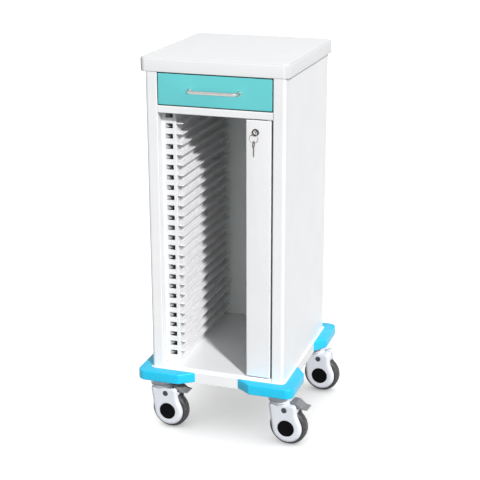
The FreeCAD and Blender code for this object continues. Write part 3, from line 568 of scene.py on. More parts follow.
class Palette:
    """Every finish of the rack, made into materials once."""

    FINISHES = {
        "white_steel": PowderCoat("white_powder_coat", (0.87, 0.875, 0.885), 0.42, 0.02),
        "teal_steel": PowderCoat("teal_powder_coat", (0.135, 0.6, 0.62), 0.4, 0.04,
                                 edge_wear_and_highlight=-0.2),
        # worktop: its rounded rims are darkened by a fifth, as painted shade
        "white_worktop": MouldedPlastic("white_worktop", (0.86, 0.865, 0.875), 0.55, 0.015,
                                        scuff=-0.05, specular=0.25, rim_painted_shade=-0.2),
        "blue_bumper": MouldedPlastic("sky_blue_bumper", (0.008, 0.56, 0.85), 0.36, 0.04,
                                      scuff=0.25),
        # the rack panels are white steel; this darker copy is painted shade
        "rack_steel": PowderCoat("rack_powder_coat", (0.8, 0.805, 0.81), 0.42, 0.02),
        # ledges: the lighter edges are a painted highlight, and the dark colour over a 26 mm reach is painted
        # shade between the ledges
        "ledge_steel": PowderCoat("ledge_powder_coat", (0.88, 0.87, 0.88), 0.42, 0.02,
                                  gap_reach=26.0, painted_gap_shade=(0.18, 0.19, 0.185), edge_wear_and_highlight=0.1),
        # the back wall is white steel; this lighter, greener copy is painted light in the shaded bay
        "back_steel": PowderCoat("back_powder_coat", (0.89, 0.93, 0.915), 0.42, 0.02),
        # the tabs are white steel; this mid grey is painted shade
        "tab_steel": PowderCoat("tab_powder_coat", (0.5, 0.505, 0.51), 0.5, 0.05, gap_reach=4.0),
        "chrome": PolishedMetal("satin_chrome", (0.5, 0.49, 0.48), 0.18, 0.05, 12.0),
        "dark_chrome": PolishedMetal("dark_chrome", (0.05, 0.05, 0.055), 0.25, 0.1, 8.0),
        "zinc_steel": ZincPlate("zinc_plate", (0.5, 0.5, 0.5), 0.38, 0.12),
        "key_nickel": PolishedMetal("key_nickel", (0.19, 0.172, 0.15), 0.4, 0.12, 5.0),
        "white_nylon": MouldedPlastic("white_nylon", (0.76, 0.78, 0.84), 0.33, 0.02, 60.0,
                                      scuff=-0.06, coat=0.2),
        "grey_plastic": MouldedPlastic("grey_plastic", (0.23, 0.235, 0.245), 0.45, 0.06, 30.0,
                                       scuff=0.2),
        "black_plastic": MouldedPlastic("black_plastic", (0.005, 0.005, 0.006), 0.6, 0.2, 20.0,
                                        scuff=0.8, specular=0.03),
        "plug_plastic": MouldedPlastic("slate_plastic", (0.04, 0.045, 0.06), 0.45, 0.12, 10.0,
                                       scuff=0.5),
        "tyre_rubber": TreadRubber("tyre_rubber", (0.03, 0.03, 0.034), 0.5, 0.12, 25.0),
        "white_bush": MouldedPlastic("white_acetal", (0.75, 0.75, 0.72), 0.4, 0.03, 10.0),
    }

    def __init__(self) -> None:
        """Builds the materials."""
        self.materials = {name: finish.material() for name, finish in self.FINISHES.items()}

    def __getitem__(self, name: str) -> bpy.types.Material:
        """The material of a finish."""
        return self.materials[name]


# ----------------------------------------------------------------- outlines
def rounded_outline(corners: Sequence[Point2], radii: Sequence[float]) -> list[Point2]:
    """Rounds the corners of a closed outline.

    Args:
        corners: the corners in order.
        radii: the radius at each corner; 0 leaves it sharp.

    Returns:
        The points of the rounded outline.
    """
    points: list[Point2] = []
    count = len(corners)
    for index, (corner, radius) in enumerate(zip(corners, radii)):
        here = Vector(corner)
        if radius <= 0:
            points.append(tuple(here))
            continue
        back = (Vector(corners[index - 1]) - here).normalized()
        ahead = (Vector(corners[(index + 1) % count]) - here).normalized()
        half = back.angle(ahead) / 2
        centre = here + (back + ahead).normalized() * (radius / math.sin(half))
        start = here + back * (radius / math.tan(half)) - centre
        end = here + ahead * (radius / math.tan(half)) - centre
        turn = math.copysign(math.pi - 2 * half, start.cross(end))
        steps = max(2, math.ceil(abs(turn) / ARC_STEP))
        for step in range(steps + 1):
            points.append(tuple(centre + Matrix.Rotation(turn * step / steps, 2) @ start))
    return points


def folded_sheet(path: Sequence[Point2], thickness: float, inner_radius: float,
                 outer_radii: dict[int, float] | None = None) -> list[Point2]:
    """Draws a folded sheet that lies to the left of a path.

    Args:
        path: the path of the sheet's right face.
        thickness: the sheet's thickness.
        inner_radius: inside radius of the folds.
        outer_radii: outside radius of single folds, by their place in the path.

    Returns:
        The closed outline of the sheet.
    """
    places = [Vector(point) for point in path]
    runs = [(after - before).normalized() for before, after in zip(places, places[1:])]
    far, near_radii, far_radii = [], [], []
    for index, place in enumerate(places):
        before = runs[max(index - 1, 0)]
        after = runs[min(index, len(runs) - 1)]
        left_before, left_after = Vector((-before.y, before.x)), Vector((-after.y, after.x))
        out = (left_before + left_after) * (thickness / (1 + left_before.dot(left_after)))
        far.append(tuple(place + out))
        turn = before.cross(after)
        outer = (outer_radii or {}).get(index, inner_radius + thickness)
        radii = (outer, outer - thickness) if turn > 0 else (outer - thickness, outer)
        near, beyond = radii if abs(turn) >= MERGE else (0.0, 0.0)
        near_radii.append(near)
        far_radii.append(beyond)
    return rounded_outline([*path, *reversed(far)], [*near_radii, *reversed(far_radii)])


def drawn_in(outline: Sequence[Point2], inset: float) -> list[Point2]:
    """Draws a smooth outline in by an even amount.

    Args:
        outline: the outline, anticlockwise, without a point twice in a row.
        inset: how far it is drawn in.

    Returns:
        As many points as before.
    """
    places = [Vector(point) for point in outline]
    drawn = []
    for before, here, after in zip([places[-1], *places], places, [*places[1:], places[0]]):
        coming, going = (here - before).normalized(), (after - here).normalized()
        run = (coming + going).normalized()
        drawn.append(tuple(here + Vector((-run.y, run.x)) * (inset / run.dot(going))))
    return drawn


def rectangle(half: float, low: float, high: float, radius: float,
              middle: float = 0.0) -> list[Point2]:
    """Draws a rectangle with rounded corners.

    Args:
        half: half of its width.
        low: its lower side.
        high: its upper side.
        radius: radius of its corners.
        middle: middle of its width.

    Returns:
        Its points, always as many for every radius above 0.
    """
    left, right = middle - half, middle + half
    return rounded_outline([(left, low), (right, low), (right, high), (left, high)], [radius] * 4)


def quarter(radius: float, steps: int) -> list[Point2]:
    """Rounds a rim by points as (inset from the side, distance from the face), face first."""
    turns = [math.pi / 2 * step / steps for step in range(steps + 1)]
    return [(radius * (1 - math.sin(turn)), radius * (1 - math.cos(turn))) for turn in turns]


def rims(low: float, high: float, low_radius: float, high_radius: float,
         steps: int) -> list[Point2]:
    """Lists the levels of a solid that is rounded at both ends.

    Args:
        low: where it starts.
        high: where it ends.
        low_radius: radius of its rim at the start.
        high_radius: radius of its rim at the end.
        steps: how many flats each rim has.

    Returns:
        For each level its place and its inset.
    """
    start = [(low + along, inset) for inset, along in quarter(low_radius, steps)]
    end = [(high - along, inset) for inset, along in quarter(high_radius, steps)]
    return [*start, *reversed(end)]


def circle(radius: float, steps: int) -> list[Point2]:
    """Points at equal steps round a circle."""
    turns = [2 * math.pi * step / steps for step in range(steps)]
    return [(radius * math.cos(turn), radius * math.sin(turn)) for turn in turns]


class Plane(Enum):
    """The plane of an outline, and with it the way that it is drawn out."""

    PLAN = "drawn out upwards"
    FRONT = "drawn out from front to back"

    def point(self, a: float, b: float, c: float) -> Vector:
        """Places a point (a, b) of the outline that is drawn out to c, in the rack's axes."""
        return Vector((a, b, c) if self is Plane.PLAN else (a, c, b))


# ------------------------------------------------------------------- meshes
class Draft:
    """A mesh in the making, drawn in millimetres. Its drawing methods give it back."""

    BAR_STEPS = 32  # flats of a round bar

    def __init__(self) -> None:
        """Starts with nothing drawn."""
        self.mesh = bmesh.new()

    def loft(self, rings: Sequence[Sequence[Vector]], capped: bool = True) -> "Draft":
        """Joins rings of equally many points.

        Args:
            rings: the rings in order.
            capped: closes both ends; otherwise the last ring joins the first.

        Returns:
            This draft.
        """
        rows = [[self.mesh.verts.new(point) for point in ring] for ring in rings]
        pairs = list(zip(rows, rows[1:]))
        if capped:
            self.mesh.faces.new(rows[0])
            self.mesh.faces.new(rows[-1])
        else:
            pairs.append((rows[-1], rows[0]))
        for low, high in pairs:
            for index, vertex in enumerate(low):
                after = (index + 1) % len(low)
                self.mesh.faces.new((vertex, low[after], high[after], high[index]))
        return self

    def stack(self, plane: Plane, levels: Iterable[tuple[float, Sequence[Point2]]]) -> "Draft":
        """Joins outlines of equally many points, each with its place along the plane's way."""
        return self.loft([[plane.point(a, b, c) for a, b in outline] for c, outline in levels])

    def prism(self, outline: Sequence[Point2], plane: Plane, low: float, high: float) -> "Draft":
        """Draws an outline out into a solid, from one place to another."""
        return self.stack(plane, [(low, outline), (high, outline)])

    def pillow(self, outline: Sequence[Point2], half: float, radius: float) -> "Draft":
        """Draws a smooth front outline out both ways into a solid with rounded rims.

        Args:
            outline: the closed outline, anticlockwise.
            half: how far the solid reaches each way.
            radius: radius of both rims.

        Returns:
            This draft.
        """
        smooth = [point for index, point in enumerate(outline)
                  if (Vector(point) - Vector(outline[index - 1])).length > MERGE]
        levels = rims(-half, half, radius, radius, RIM_STEPS)
        return self.stack(Plane.FRONT, [(c, drawn_in(smooth, inset)) for c, inset in levels])

    def lathe(self, profile: Iterable[Point2], plane: Plane, centre: Sequence[float],
              steps: int = ROUND_STEPS, capped: bool = True) -> "Draft":
        """Turns a profile round an axis that stands on a plane.

        Args:
            profile: points as (place along the axis, radius).
            plane: the plane that the axis stands on.
            centre: a point of the axis, from which the places are measured.
            steps: how many flats the round has.
            capped: closes the ends; otherwise the profile is closed in itself.

        Returns:
            This draft.
        """
        middle = Vector(centre)
        return self.loft([[middle + plane.point(a, b, along) for a, b in circle(radius, steps)]
                          for along, radius in profile], capped)

    def tube(self, path: Sequence[Vector], radius: float) -> "Draft":
        """Draws a round bar along a level path.

        Args:
            path: the points of the bar's middle.
            radius: the bar's radius.

        Returns:
            This draft.
        """
        up = Vector((0, 0, 1))
        rings = []
        for index, place in enumerate(path):
            run = (path[min(index + 1, len(path) - 1)] - path[max(index - 1, 0)]).normalized()
            across = run.cross(up)
            rings.append([place + across * a + up * b for a, b in circle(radius, self.BAR_STEPS)])
        return self.loft(rings)

    def build(self, name: str, shift: Sequence[float] = ORIGIN, closed: bool = True) -> Piece:
        """Makes the object, at the origin with its place in its mesh.

        Args:
            name: name of the piece.
            shift: where the drawing's origin lies, in millimetres.
            closed: turns the faces outwards.

        Returns:
            The object.
        """
        bmesh.ops.remove_doubles(self.mesh, verts=self.mesh.verts, dist=MERGE)
        if closed:
            bmesh.ops.recalc_face_normals(self.mesh, faces=self.mesh.faces)
        self.mesh.transform(Matrix.Scale(MM, 4) @ Matrix.Translation(shift))
        data = bpy.data.meshes.new(name)
        self.mesh.to_mesh(data)
        self.mesh.free()
        piece = bpy.data.objects.new(name, data)
        bpy.context.scene.collection.objects.link(piece)
        data.shade_smooth()
        return piece

    def crisp(self, name: str, shift: Sequence[float] = ORIGIN) -> Piece:
        """Makes the object as build does, with its hard edges sharp.

        Args:
            name: name of the piece.
            shift: where the drawing's origin lies, in millimetres.

        Returns:
            The object.
        """
        piece = self.build(name, shift)
        piece.data.set_sharp_from_angle(angle=SMOOTH_LIMIT)
        return piece


def settled(piece: Piece) -> Piece:
    """Turns the result of a piece's modifiers into its plain mesh.

    Args:
        piece: the piece.

    Returns:
        The piece.
    """
    graph = bpy.context.evaluated_depsgraph_get()
    data = bpy.data.meshes.new_from_object(piece.evaluated_get(graph), depsgraph=graph)
    piece.modifiers.clear()
    old = piece.data
    piece.data = data
    bpy.data.meshes.remove(old)
    data.name = piece.name
    return piece


def modified(piece: Piece, kind: str, **settings: object) -> None:
    """Gives a piece a modifier.

    Args:
        piece: the piece.
        kind: the modifier's type.
        settings: the modifier's settings.
    """
    modifier = piece.modifiers.new(kind.lower(), kind)
    for name, value in settings.items():
        setattr(modifier, name, value)


def eased(piece: Piece, width: float) -> Piece:
    """Rounds a piece's hard edges.

    Args:
        piece: the piece.
        width: width of the rounding, in millimetres.

    Returns:
        The piece, with plain geometry.
    """
    modified(piece, "BEVEL", width=width * MM, segments=2, limit_method="ANGLE",
             angle_limit=SMOOTH_LIMIT, use_clamp_overlap=False)
    modified(piece, "WEIGHTED_NORMAL", keep_sharp=True)
    return settled(piece)


def combined(piece: Piece, tools: Iterable[Piece], operation: str) -> Piece:
    """Cuts pieces from a piece, or joins them to it.

    Args:
        piece: the piece.
        tools: the pieces that are used up.
        operation: DIFFERENCE or UNION.

    Returns:
        The piece, with plain geometry.
    """
    for tool in tools:
        modified(piece, "BOOLEAN", operation=operation, solver="EXACT", object=tool)
        settled(piece)
        bpy.data.objects.remove(tool)
    return piece


def moulded(piece: Piece, grain: float, softness: int) -> Piece:
    """Melts a piece into one smooth skin, as a mould gives it.

    Args:
        piece: the piece.
        grain: size of the skin's facets, in millimetres.
        softness: how often the skin is smoothed.

    Returns:
        The piece, with plain geometry.
    """
    modified(piece, "REMESH", mode="VOXEL", voxel_size=grain * MM, use_smooth_shade=True)
    modified(piece, "SMOOTH", iterations=softness, factor=0.5)
    return settled(piece)


def copied(piece: Piece, name: str, move: Matrix) -> Piece:
    """Copies a piece to another place.

    Args:
        piece: the piece that is copied.
        name: name of the copy.
        move: the way from the piece to the copy, in millimetres.

    Returns:
        The copy, with its place in its mesh.
    """
    data = piece.data.copy()
    data.name = name
    data.transform(Matrix.Scale(MM, 4) @ move @ Matrix.Scale(1 / MM, 4))
    copy = bpy.data.objects.new(name, data)
    bpy.context.scene.collection.objects.link(copy)
    return copy


class Row:
    """A geometry-nodes tree that repeats a piece upwards."""

    def __init__(self) -> None:
        """Builds the tree: a line of points, a copy on each, all made real."""
        self.tree = tree = bpy.data.node_groups.new("Row", "GeometryNodeTree")
        tree.interface.new_socket("Geometry", in_out="OUTPUT", socket_type="NodeSocketGeometry")
        kinds = {"Geometry": "Geometry", "Count": "Int", "Pitch": "Vector", "Finish": "Material"}
        self.keys = {name: tree.interface.new_socket(name, in_out="INPUT",
                                                     socket_type="NodeSocket" + kind).identifier
                     for name, kind in kinds.items()}
        source = add_node(tree, "NodeGroupInput").outputs
        line = add_node(tree, "GeometryNodeMeshLine",
                        {"Count": source["Count"], "Offset": source["Pitch"]}, mode="OFFSET")
        copies = add_node(tree, "GeometryNodeInstanceOnPoints",
                          {"Points": line.outputs["Mesh"], "Instance": source["Geometry"]})
        real = add_node(tree, "GeometryNodeRealizeInstances",
                        {"Geometry": copies.outputs["Instances"]})
        dress = add_node(tree, "GeometryNodeSetMaterial",
                         {"Geometry": real.outputs["Geometry"], "Material": source["Finish"]})
        add_node(tree, "NodeGroupOutput", {"Geometry": dress.outputs["Geometry"]})

    def upwards(self, piece: Piece, count: int, pitch: float, finish: bpy.types.Material) -> Piece:
        """Repeats a piece.

        Args:
            piece: the piece, where its lowest copy lies.
            count: how many copies there are.
            pitch: from one copy up to the next, in millimetres.
            finish: the copies' material.

        Returns:
            The piece, with plain geometry.
        """
        modifier = piece.modifiers.new("row", "NODES")
        modifier.node_group = self.tree
        values = {"Count": count, "Pitch": (0.0, 0.0, pitch * MM), "Finish": finish}
        for name, value in values.items():
            modifier[self.keys[name]] = value
        return settled(piece)


# ------------------------------------------------------------- sub-assembly
@dataclass
class SubAssembly:
    """What every sub-assembly needs: the finishes and the shared places."""

    palette: Palette
    carcass: Carcass

    @property
    def shift(self) -> Vector:
        """The cabinet's middle, from which the pieces are drawn."""
        return Vector((self.carcass.middle, 0, 0))

    def add(self, piece: Piece, node: str, finish: str, slot: str) -> None:
        """Dresses a further piece and lets it ride with a CAD node's body.

        Args:
            piece: the finished piece.
            node: the CAD node whose body carries it.
            finish: name of the finish.
            slot: the record's material slot; not used.
        """
        piece.data.materials.clear()
        piece.data.materials.append(self.palette[finish])
        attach(piece, body_of(node))
        log.info("%s rides with %s, with %d faces", piece.name, node, len(piece.data.polygons))

    def fit(self, piece: Piece, node: str, finish: str | None = None) -> None:
        """Dresses a piece and puts it in a CAD node's place.

        Args:
            piece: the finished piece.
            node: the CAD node that it stands for.
            finish: name of the finish, if it isn't the node's own slot.
        """
        slot = slot_of(node)
        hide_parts(node)
        self.add(piece, node, finish or slot, slot)
        log.info("%s stands for %s", piece.name, node)

    def dress(self, *names: str, finish: str | None = None) -> None:
        """Gives CAD nodes that stay as they are a material.

        Args:
            names: the nodes.
            finish: name of the finish, if it isn't the one of their slot.
        """
        for name in names:
            node = frame["nodes"][name]
            if not node.material_slots:
                node.data.materials.append(None)
            for slot in node.material_slots:
                slot.material = self.palette[finish or slot_of(name)]
            log.info("%s keeps its CAD shape", name)

    def build(self) -> None:
        """Makes the sub-assembly's pieces."""
        raise NotImplementedError


@dataclass
class Worktop(SubAssembly):
    """Thick moulded top with soft edges."""

    corner_radius: float = 16.0
    edge_radius: float = 6.0
    lower_radius: float = 2.0
    edge_steps: int = 8

    def build(self) -> None:
        """Makes the slab as a stack of levels, rounded at both rims."""
        place = Extent.of("worktop")
        middle = place.middle - self.carcass.middle
        heights = rims(place.z0, place.z1, self.lower_radius, self.edge_radius, self.edge_steps)
        levels = [(z, rectangle(place.half - inset, place.y0 + inset, place.y1 - inset,
                                self.corner_radius - inset, middle)) for z, inset in heights]
        slab = Draft().stack(Plane.PLAN, levels).build("worktop_slab", self.shift)
        self.fit(slab, "worktop")


@dataclass
class Cabinet(SubAssembly):
    """The folded steel sheets of the cabinet."""

    sheet: float = 1.2
    bend_radius: float = 1.2
    corner_radius: float = 8.0
    rear_return: float = 20.0
    edge: float = 0.35

    def side_panel(self, side: Side) -> None:
        """Makes one side with its front stile.

        Args:
            side: its side.
        """
        c = self.carcass
        path = [(-c.half_width + self.rear_return, c.rear), (-c.half_width, c.rear),
                (-c.half_width, c.front), (-c.opening_half, c.front),
                (-c.opening_half, c.fold_back)]
        outline = folded_sheet(path, self.sheet, self.bend_radius,
                               {1: self.corner_radius, 2: self.corner_radius})
        panel = Draft().prism(side.turned(outline), Plane.PLAN, c.base_top, c.top)
        piece = eased(panel.build(side.named("side_skin"), self.shift), self.edge)
        self.fit(piece, side.named("side_panel"))

    def build(self) -> None:
        """Makes the sides and dresses the sheets behind them."""
        for side in Side:
            self.side_panel(side)
        self.dress("cabinet_top", "front_rail", "drawer_bay", "compartment_floor")
        # the back panel takes a lighter copy of the white steel: painted light
        self.dress("back_panel", finish="back_steel")


@dataclass
class ChartRack(SubAssembly):
    """Windowed rack panels with their tabs and ledges, each one level repeated."""

    sheet: float = 1.2
    bend_radius: float = 1.2
    levels: int = 25
    foot: float = 8.4
    head: float = 3.5
    flange_width: float = 38.0
    window_inset: float = 9.4
    window_width: float = 19.6
    window_height: float = 12.2
    tab_length: float = 17.0
    tab_bend: float = 60.0
    tab_root: float = 1.5
    tab_play: float = 0.03
    ledge_reach: float = 17.5
    ledge_thickness: float = 2.4
    ledge_corner: float = 2.0
    ledge_edge: float = 0.5
    edge: float = 0.3

    def __post_init__(self) -> None:
        """Builds the tree that repeats a level."""
        self.row = Row()

    def repeat(self, piece: Piece, count: int, finish: str) -> None:
        """Repeats a piece upwards, level by level."""
        self.row.upwards(piece, count, self.pitch, self.palette[finish])

    @property
    def pitch(self) -> float:
        """From one level to the next."""
        height = self.carcass.rail_bottom - self.carcass.bay_floor
        return (height - self.foot - self.head) / self.levels

    @property
    def first_level(self) -> float:
        """Foot of the lowest level."""
        return self.carcass.bay_floor + self.foot

    @property
    def first_ledge(self) -> float:
        """Underside of the lowest ledge, which is also the top of the lowest windows."""
        return self.first_level + self.pitch - self.ledge_thickness / 2

    def level_outline(self, place: Extent) -> tuple[list[Point2], list[int]]:
        """Draws one level's sheet in plan.

        Args:
            place: the rack panel's box.

        Returns:
            The outline, and the places in it where the window's four corners lie:
            front outer, front inner, back inner, back outer.
        """
        c = self.carcass
        web = c.opening_half - self.flange_width
        front = Extent.of("chart_ledges_left").y0
        back = front + self.sheet
        outer = c.opening_half - self.window_inset
        inner = outer - self.window_width
        path = [(-c.opening_half, place.y0), (-c.opening_half, front), (-outer, front),
                (-inner, front), (-web, front), (-web, place.y1), (-c.opening_half, place.y1)]
        outline = folded_sheet(path, self.sheet, self.bend_radius)
        marks = []
        for corner in ((-outer, front), (-inner, front), (-inner, back), (-outer, back)):
            distances = [(Vector(point) - Vector(corner)).length for point in outline]
            marks.append(distances.index(min(distances)))
        return outline, marks

    def level(self, outline: list[Point2], marks: list[int]) -> Draft:
        """Draws one level's skin, open above and below, with its window.

        Args:
            outline: the sheet in plan.
            marks: places of the window's corners in the outline.

        Returns:
            The drawing.
        """
        top = self.first_ledge
        heights = [self.first_level, top - self.window_height, top, self.first_level + self.pitch]
        draft = Draft()
        rows = [[draft.mesh.verts.new((a, b, z)) for a, b in outline] for z in heights]
        sill, lintel = rows[1], rows[2]
        front_outer, front_inner, back_inner, back_outer = marks
        for low, high in zip(rows, rows[1:]):
            for index in range(len(outline)):
                after = (index + 1) % len(outline)
                if low is sill and index in (front_outer, back_inner):
                    continue
                draft.mesh.faces.new((low[index], low[after], high[after], high[index]))
        for near, far in ((front_outer, back_outer), (back_inner, front_inner)):
            draft.mesh.faces.new((sill[near], sill[far], lintel[far], lintel[near]))
        for row in (sill, lintel):
            draft.mesh.faces.new([row[mark] for mark in marks])
        return draft

    def panel(self, side: Side) -> None:
        """Makes one rack panel from its level, and draws its ends out to the floor and the rail.

        Args:
            side: its side.
        """
        node = side.named("rack_panel")
        place = Extent.of(node)
        outline, marks = self.level_outline(place)
        level = self.level(side.turned(outline), marks)
        piece = level.build(side.named("windowed_panel"), self.shift, closed=False)
        # the panels take a darker copy of the white steel: painted shade
        self.repeat(piece, self.levels, "rack_steel")
        mesh = bmesh.new()
        mesh.from_mesh(piece.data)
        bmesh.ops.remove_doubles(mesh, verts=mesh.verts, dist=WELD)
        open_edges = [edge for edge in mesh.edges if edge.is_boundary]
        middle = (place.z0 + place.z1) / 2 * MM
        for vertex in {vertex for edge in open_edges for vertex in edge.verts}:
            vertex.co.z = (place.z0 if vertex.co.z < middle else place.z1) * MM
        bmesh.ops.holes_fill(mesh, edges=open_edges, sides=0)
        bmesh.ops.recalc_face_normals(mesh, faces=mesh.faces)
        mesh.to_mesh(piece.data)
        mesh.free()
        piece.data.shade_smooth()
        self.fit(eased(piece, self.edge), node, "rack_steel")

    def tabs(self, side: Side) -> None:
        """Makes one side's tabs, each bent back from its window's outer side.

        Args:
            side: their side.
        """
        bend, length = math.radians(self.tab_bend), self.tab_length
        outer = self.carcass.opening_half - self.window_inset
        front = Extent.of("chart_ledges_left").y0 + self.tab_play
        path = [(-outer - self.tab_root, front), (-outer, front),
                (-outer + length * math.cos(bend), front + length * math.sin(bend))]
        outline = folded_sheet(path, self.sheet - 2 * self.tab_play, self.bend_radius)
        top = self.first_ledge
        tab = Draft().prism(side.turned(outline), Plane.PLAN, top - self.window_height, top)
        piece = eased(tab.build(side.named("window_tabs"), self.shift), self.edge)
        # the tabs take a grey copy of their white steel: painted shade
        self.repeat(piece, self.levels, "tab_steel")
        self.add(piece, side.named("rack_panel"), "tab_steel", "white_steel")

    def ledges(self, side: Side) -> None:
        """Makes one side's ledges from the lowest.

        Args:
            side: their side.
        """
        node = side.named("chart_ledges")
        place = Extent.of(node)
        web = self.carcass.opening_half - self.flange_width
        tip = web - self.ledge_reach
        corners = [(-web, place.y0), (-tip, place.y0), (-tip, place.y1), (-web, place.y1)]
        outline = rounded_outline(corners, [0, self.ledge_corner, self.ledge_corner, 0])
        low = self.first_ledge
        ledge = Draft().prism(side.turned(outline), Plane.PLAN, low, low + self.ledge_thickness)
        piece = eased(ledge.build(side.named("ledge_row"), self.shift), self.ledge_edge)
        self.repeat(piece, self.levels - 1, "ledge_steel")
        self.fit(piece, node, "ledge_steel")

    def build(self) -> None:
        """Makes both panels, their tabs and both rows of ledges."""
        for side in Side:
            self.panel(side)
            self.tabs(side)
            self.ledges(side)


@dataclass
class Base(SubAssembly):
    """Moulded base with its four corner bumpers."""

    reach: float = 28.0
    leg: float = 126.0
    end_run: float = 38.0
    corner_radius: float = 22.0
    edge_radius: float = 3.0
    seat_radius: float = 13.3
    edge_steps: int = 6

    def guard_outline(self, inset: float) -> list[Point2]:
        """Draws a bumper in plan, in the rear right corner.

        Args:
            inset: how far its outer side is drawn in.

        Returns:
            The outline; it has as many points for every inset.
        """
        place = Extent.of("base_pan")
        x, y = place.x1 - self.carcass.middle, place.y1
        reach = self.reach - inset
        start = inset * math.hypot(self.end_run, self.reach) / self.reach
        end_x, end_y = x - self.leg + start, y - self.leg + start
        run = reach * self.end_run / self.reach
        corners = [(end_x, y), (end_x + run, y + reach), (x + reach, y + reach),
                   (x + reach, end_y + run), (x, end_y), (x, y)]
        edge = self.edge_radius
        radii = [0, edge, self.corner_radius - inset, edge, 0, self.seat_radius]
        return rounded_outline(corners, radii)

    def bumper(self, corner: str, sx: int, sy: int) -> None:
        """Makes one bumper.

        Args:
            corner: name of the corner.
            sx: -1 for left, 1 for right.
            sy: -1 for front, 1 for rear.
        """
        node = "bumper_" + corner
        place = Extent.of(node)
        heights = rims(place.z0, place.z1, self.edge_radius, self.edge_radius, self.edge_steps)
        levels = [(z, [(sx * a, sy * b) for a, b in self.guard_outline(inset)])
                  for z, inset in heights]
        piece = Draft().stack(Plane.PLAN, levels).crisp("corner_guard_" + corner, self.shift)
        self.fit(piece, node)

    def build(self) -> None:
        """Makes the bumpers and dresses the base."""
        for corner, (sx, sy) in CORNERS.items():
            self.bumper(corner, sx, sy)
        self.dress("base_pan")


@dataclass(frozen=True)
class Pan:
    """A steel pan that faces the front: a rounded rim and a hem turned in behind.

    The corner radii are named from the face back: least and narrowing on the rim,
    side, back, turned on the hem, and inner.
    """

    rim: float
    steps: int
    wall: float
    hem: float
    ease: float
    least: float
    narrowing: float
    side: float
    back: float
    turned: float
    inner: float = 0.4

    def draft(self, place: Extent, middle: float = 0.0) -> Draft:
        """Draws the pan.

        Args:
            place: its box.
            middle: middle of its width, from the cabinet's.

        Returns:
            The drawing.
        """
        front, back = place.y0, place.y1
        levels = [(front + along, inset, max(self.least, self.side - inset * self.narrowing))
                  for inset, along in quarter(self.rim, self.steps)]
        levels += [(back - self.ease, 0.0, self.side), (back, self.ease, self.back),
                   (back, self.hem, self.turned), (back - self.wall, self.hem, self.turned),
                   (back - self.wall, self.wall, self.inner),
                   (front + self.wall, self.wall, self.inner)]
        return Draft().stack(Plane.FRONT, [
            (y, rectangle(place.half - inset, place.z0 + inset, place.z1 - inset, radius, middle))
            for y, inset, radius in levels])


@dataclass
class Drawer(SubAssembly):
    """Pressed front, bow handle, tray and slides."""

    handle_centres: float = 128.0
    handle_bar: float = 9.0
    handle_bend: float = 13.0
    foot_radius: float = 6.0
    foot_height: float = 3.0
    foot_steps: int = 40

    PAN = Pan(rim=1.5, steps=6, wall=1.5, hem=12.0, ease=0.3, least=0.0, narrowing=0.9,
              side=1.5, back=1.5, turned=1.5)
    FOOT = ((0.0, 0.0), (0.6, 0.0), (0.9, 0.4), (1.0, 1.2))  # share of its height, inset

    def front(self) -> None:
        """Makes the pressed front."""
        draft = self.PAN.draft(Extent.of("drawer_front"))
        self.fit(draft.crisp("drawer_face", self.shift), "drawer_front")

    def handle(self) -> None:
        """Makes the bow handle: a bent bar on two feet."""
        place = Extent.of("drawer_handle")
        z = (place.z0 + place.z1) / 2
        radius = self.handle_bar / 2
        end_x = self.handle_centres / 2
        bends = quarter(self.handle_bend, math.ceil(math.pi / 2 / ARC_STEP))
        right = [Vector((end_x, place.y1 - self.foot_height / 2, z))]
        right += [Vector((end_x - along, place.y0 + radius + inset, z)) for inset, along in bends]
        left = [Vector((-point.x, point.y, point.z)) for point in reversed(right)]
        draft = Draft().tube([*right, *left], radius)
        foot = [(-self.foot_height * share, self.foot_radius - inset) for share, inset in self.FOOT]
        for sign in (-1, 1):
            draft.lathe(foot, Plane.FRONT, (sign * end_x, place.y1, z), self.foot_steps)
        self.fit(draft.crisp("bow_handle", self.shift), "drawer_handle")

    def build(self) -> None:
        """Makes the front and handle, and dresses the tray and slides."""
        self.front()
        self.handle()
        self.dress("drawer_tray", "handle_screws")
        for side in Side:
            self.dress(*[side.named("slide_" + member) for member in ("outer", "middle", "inner")])


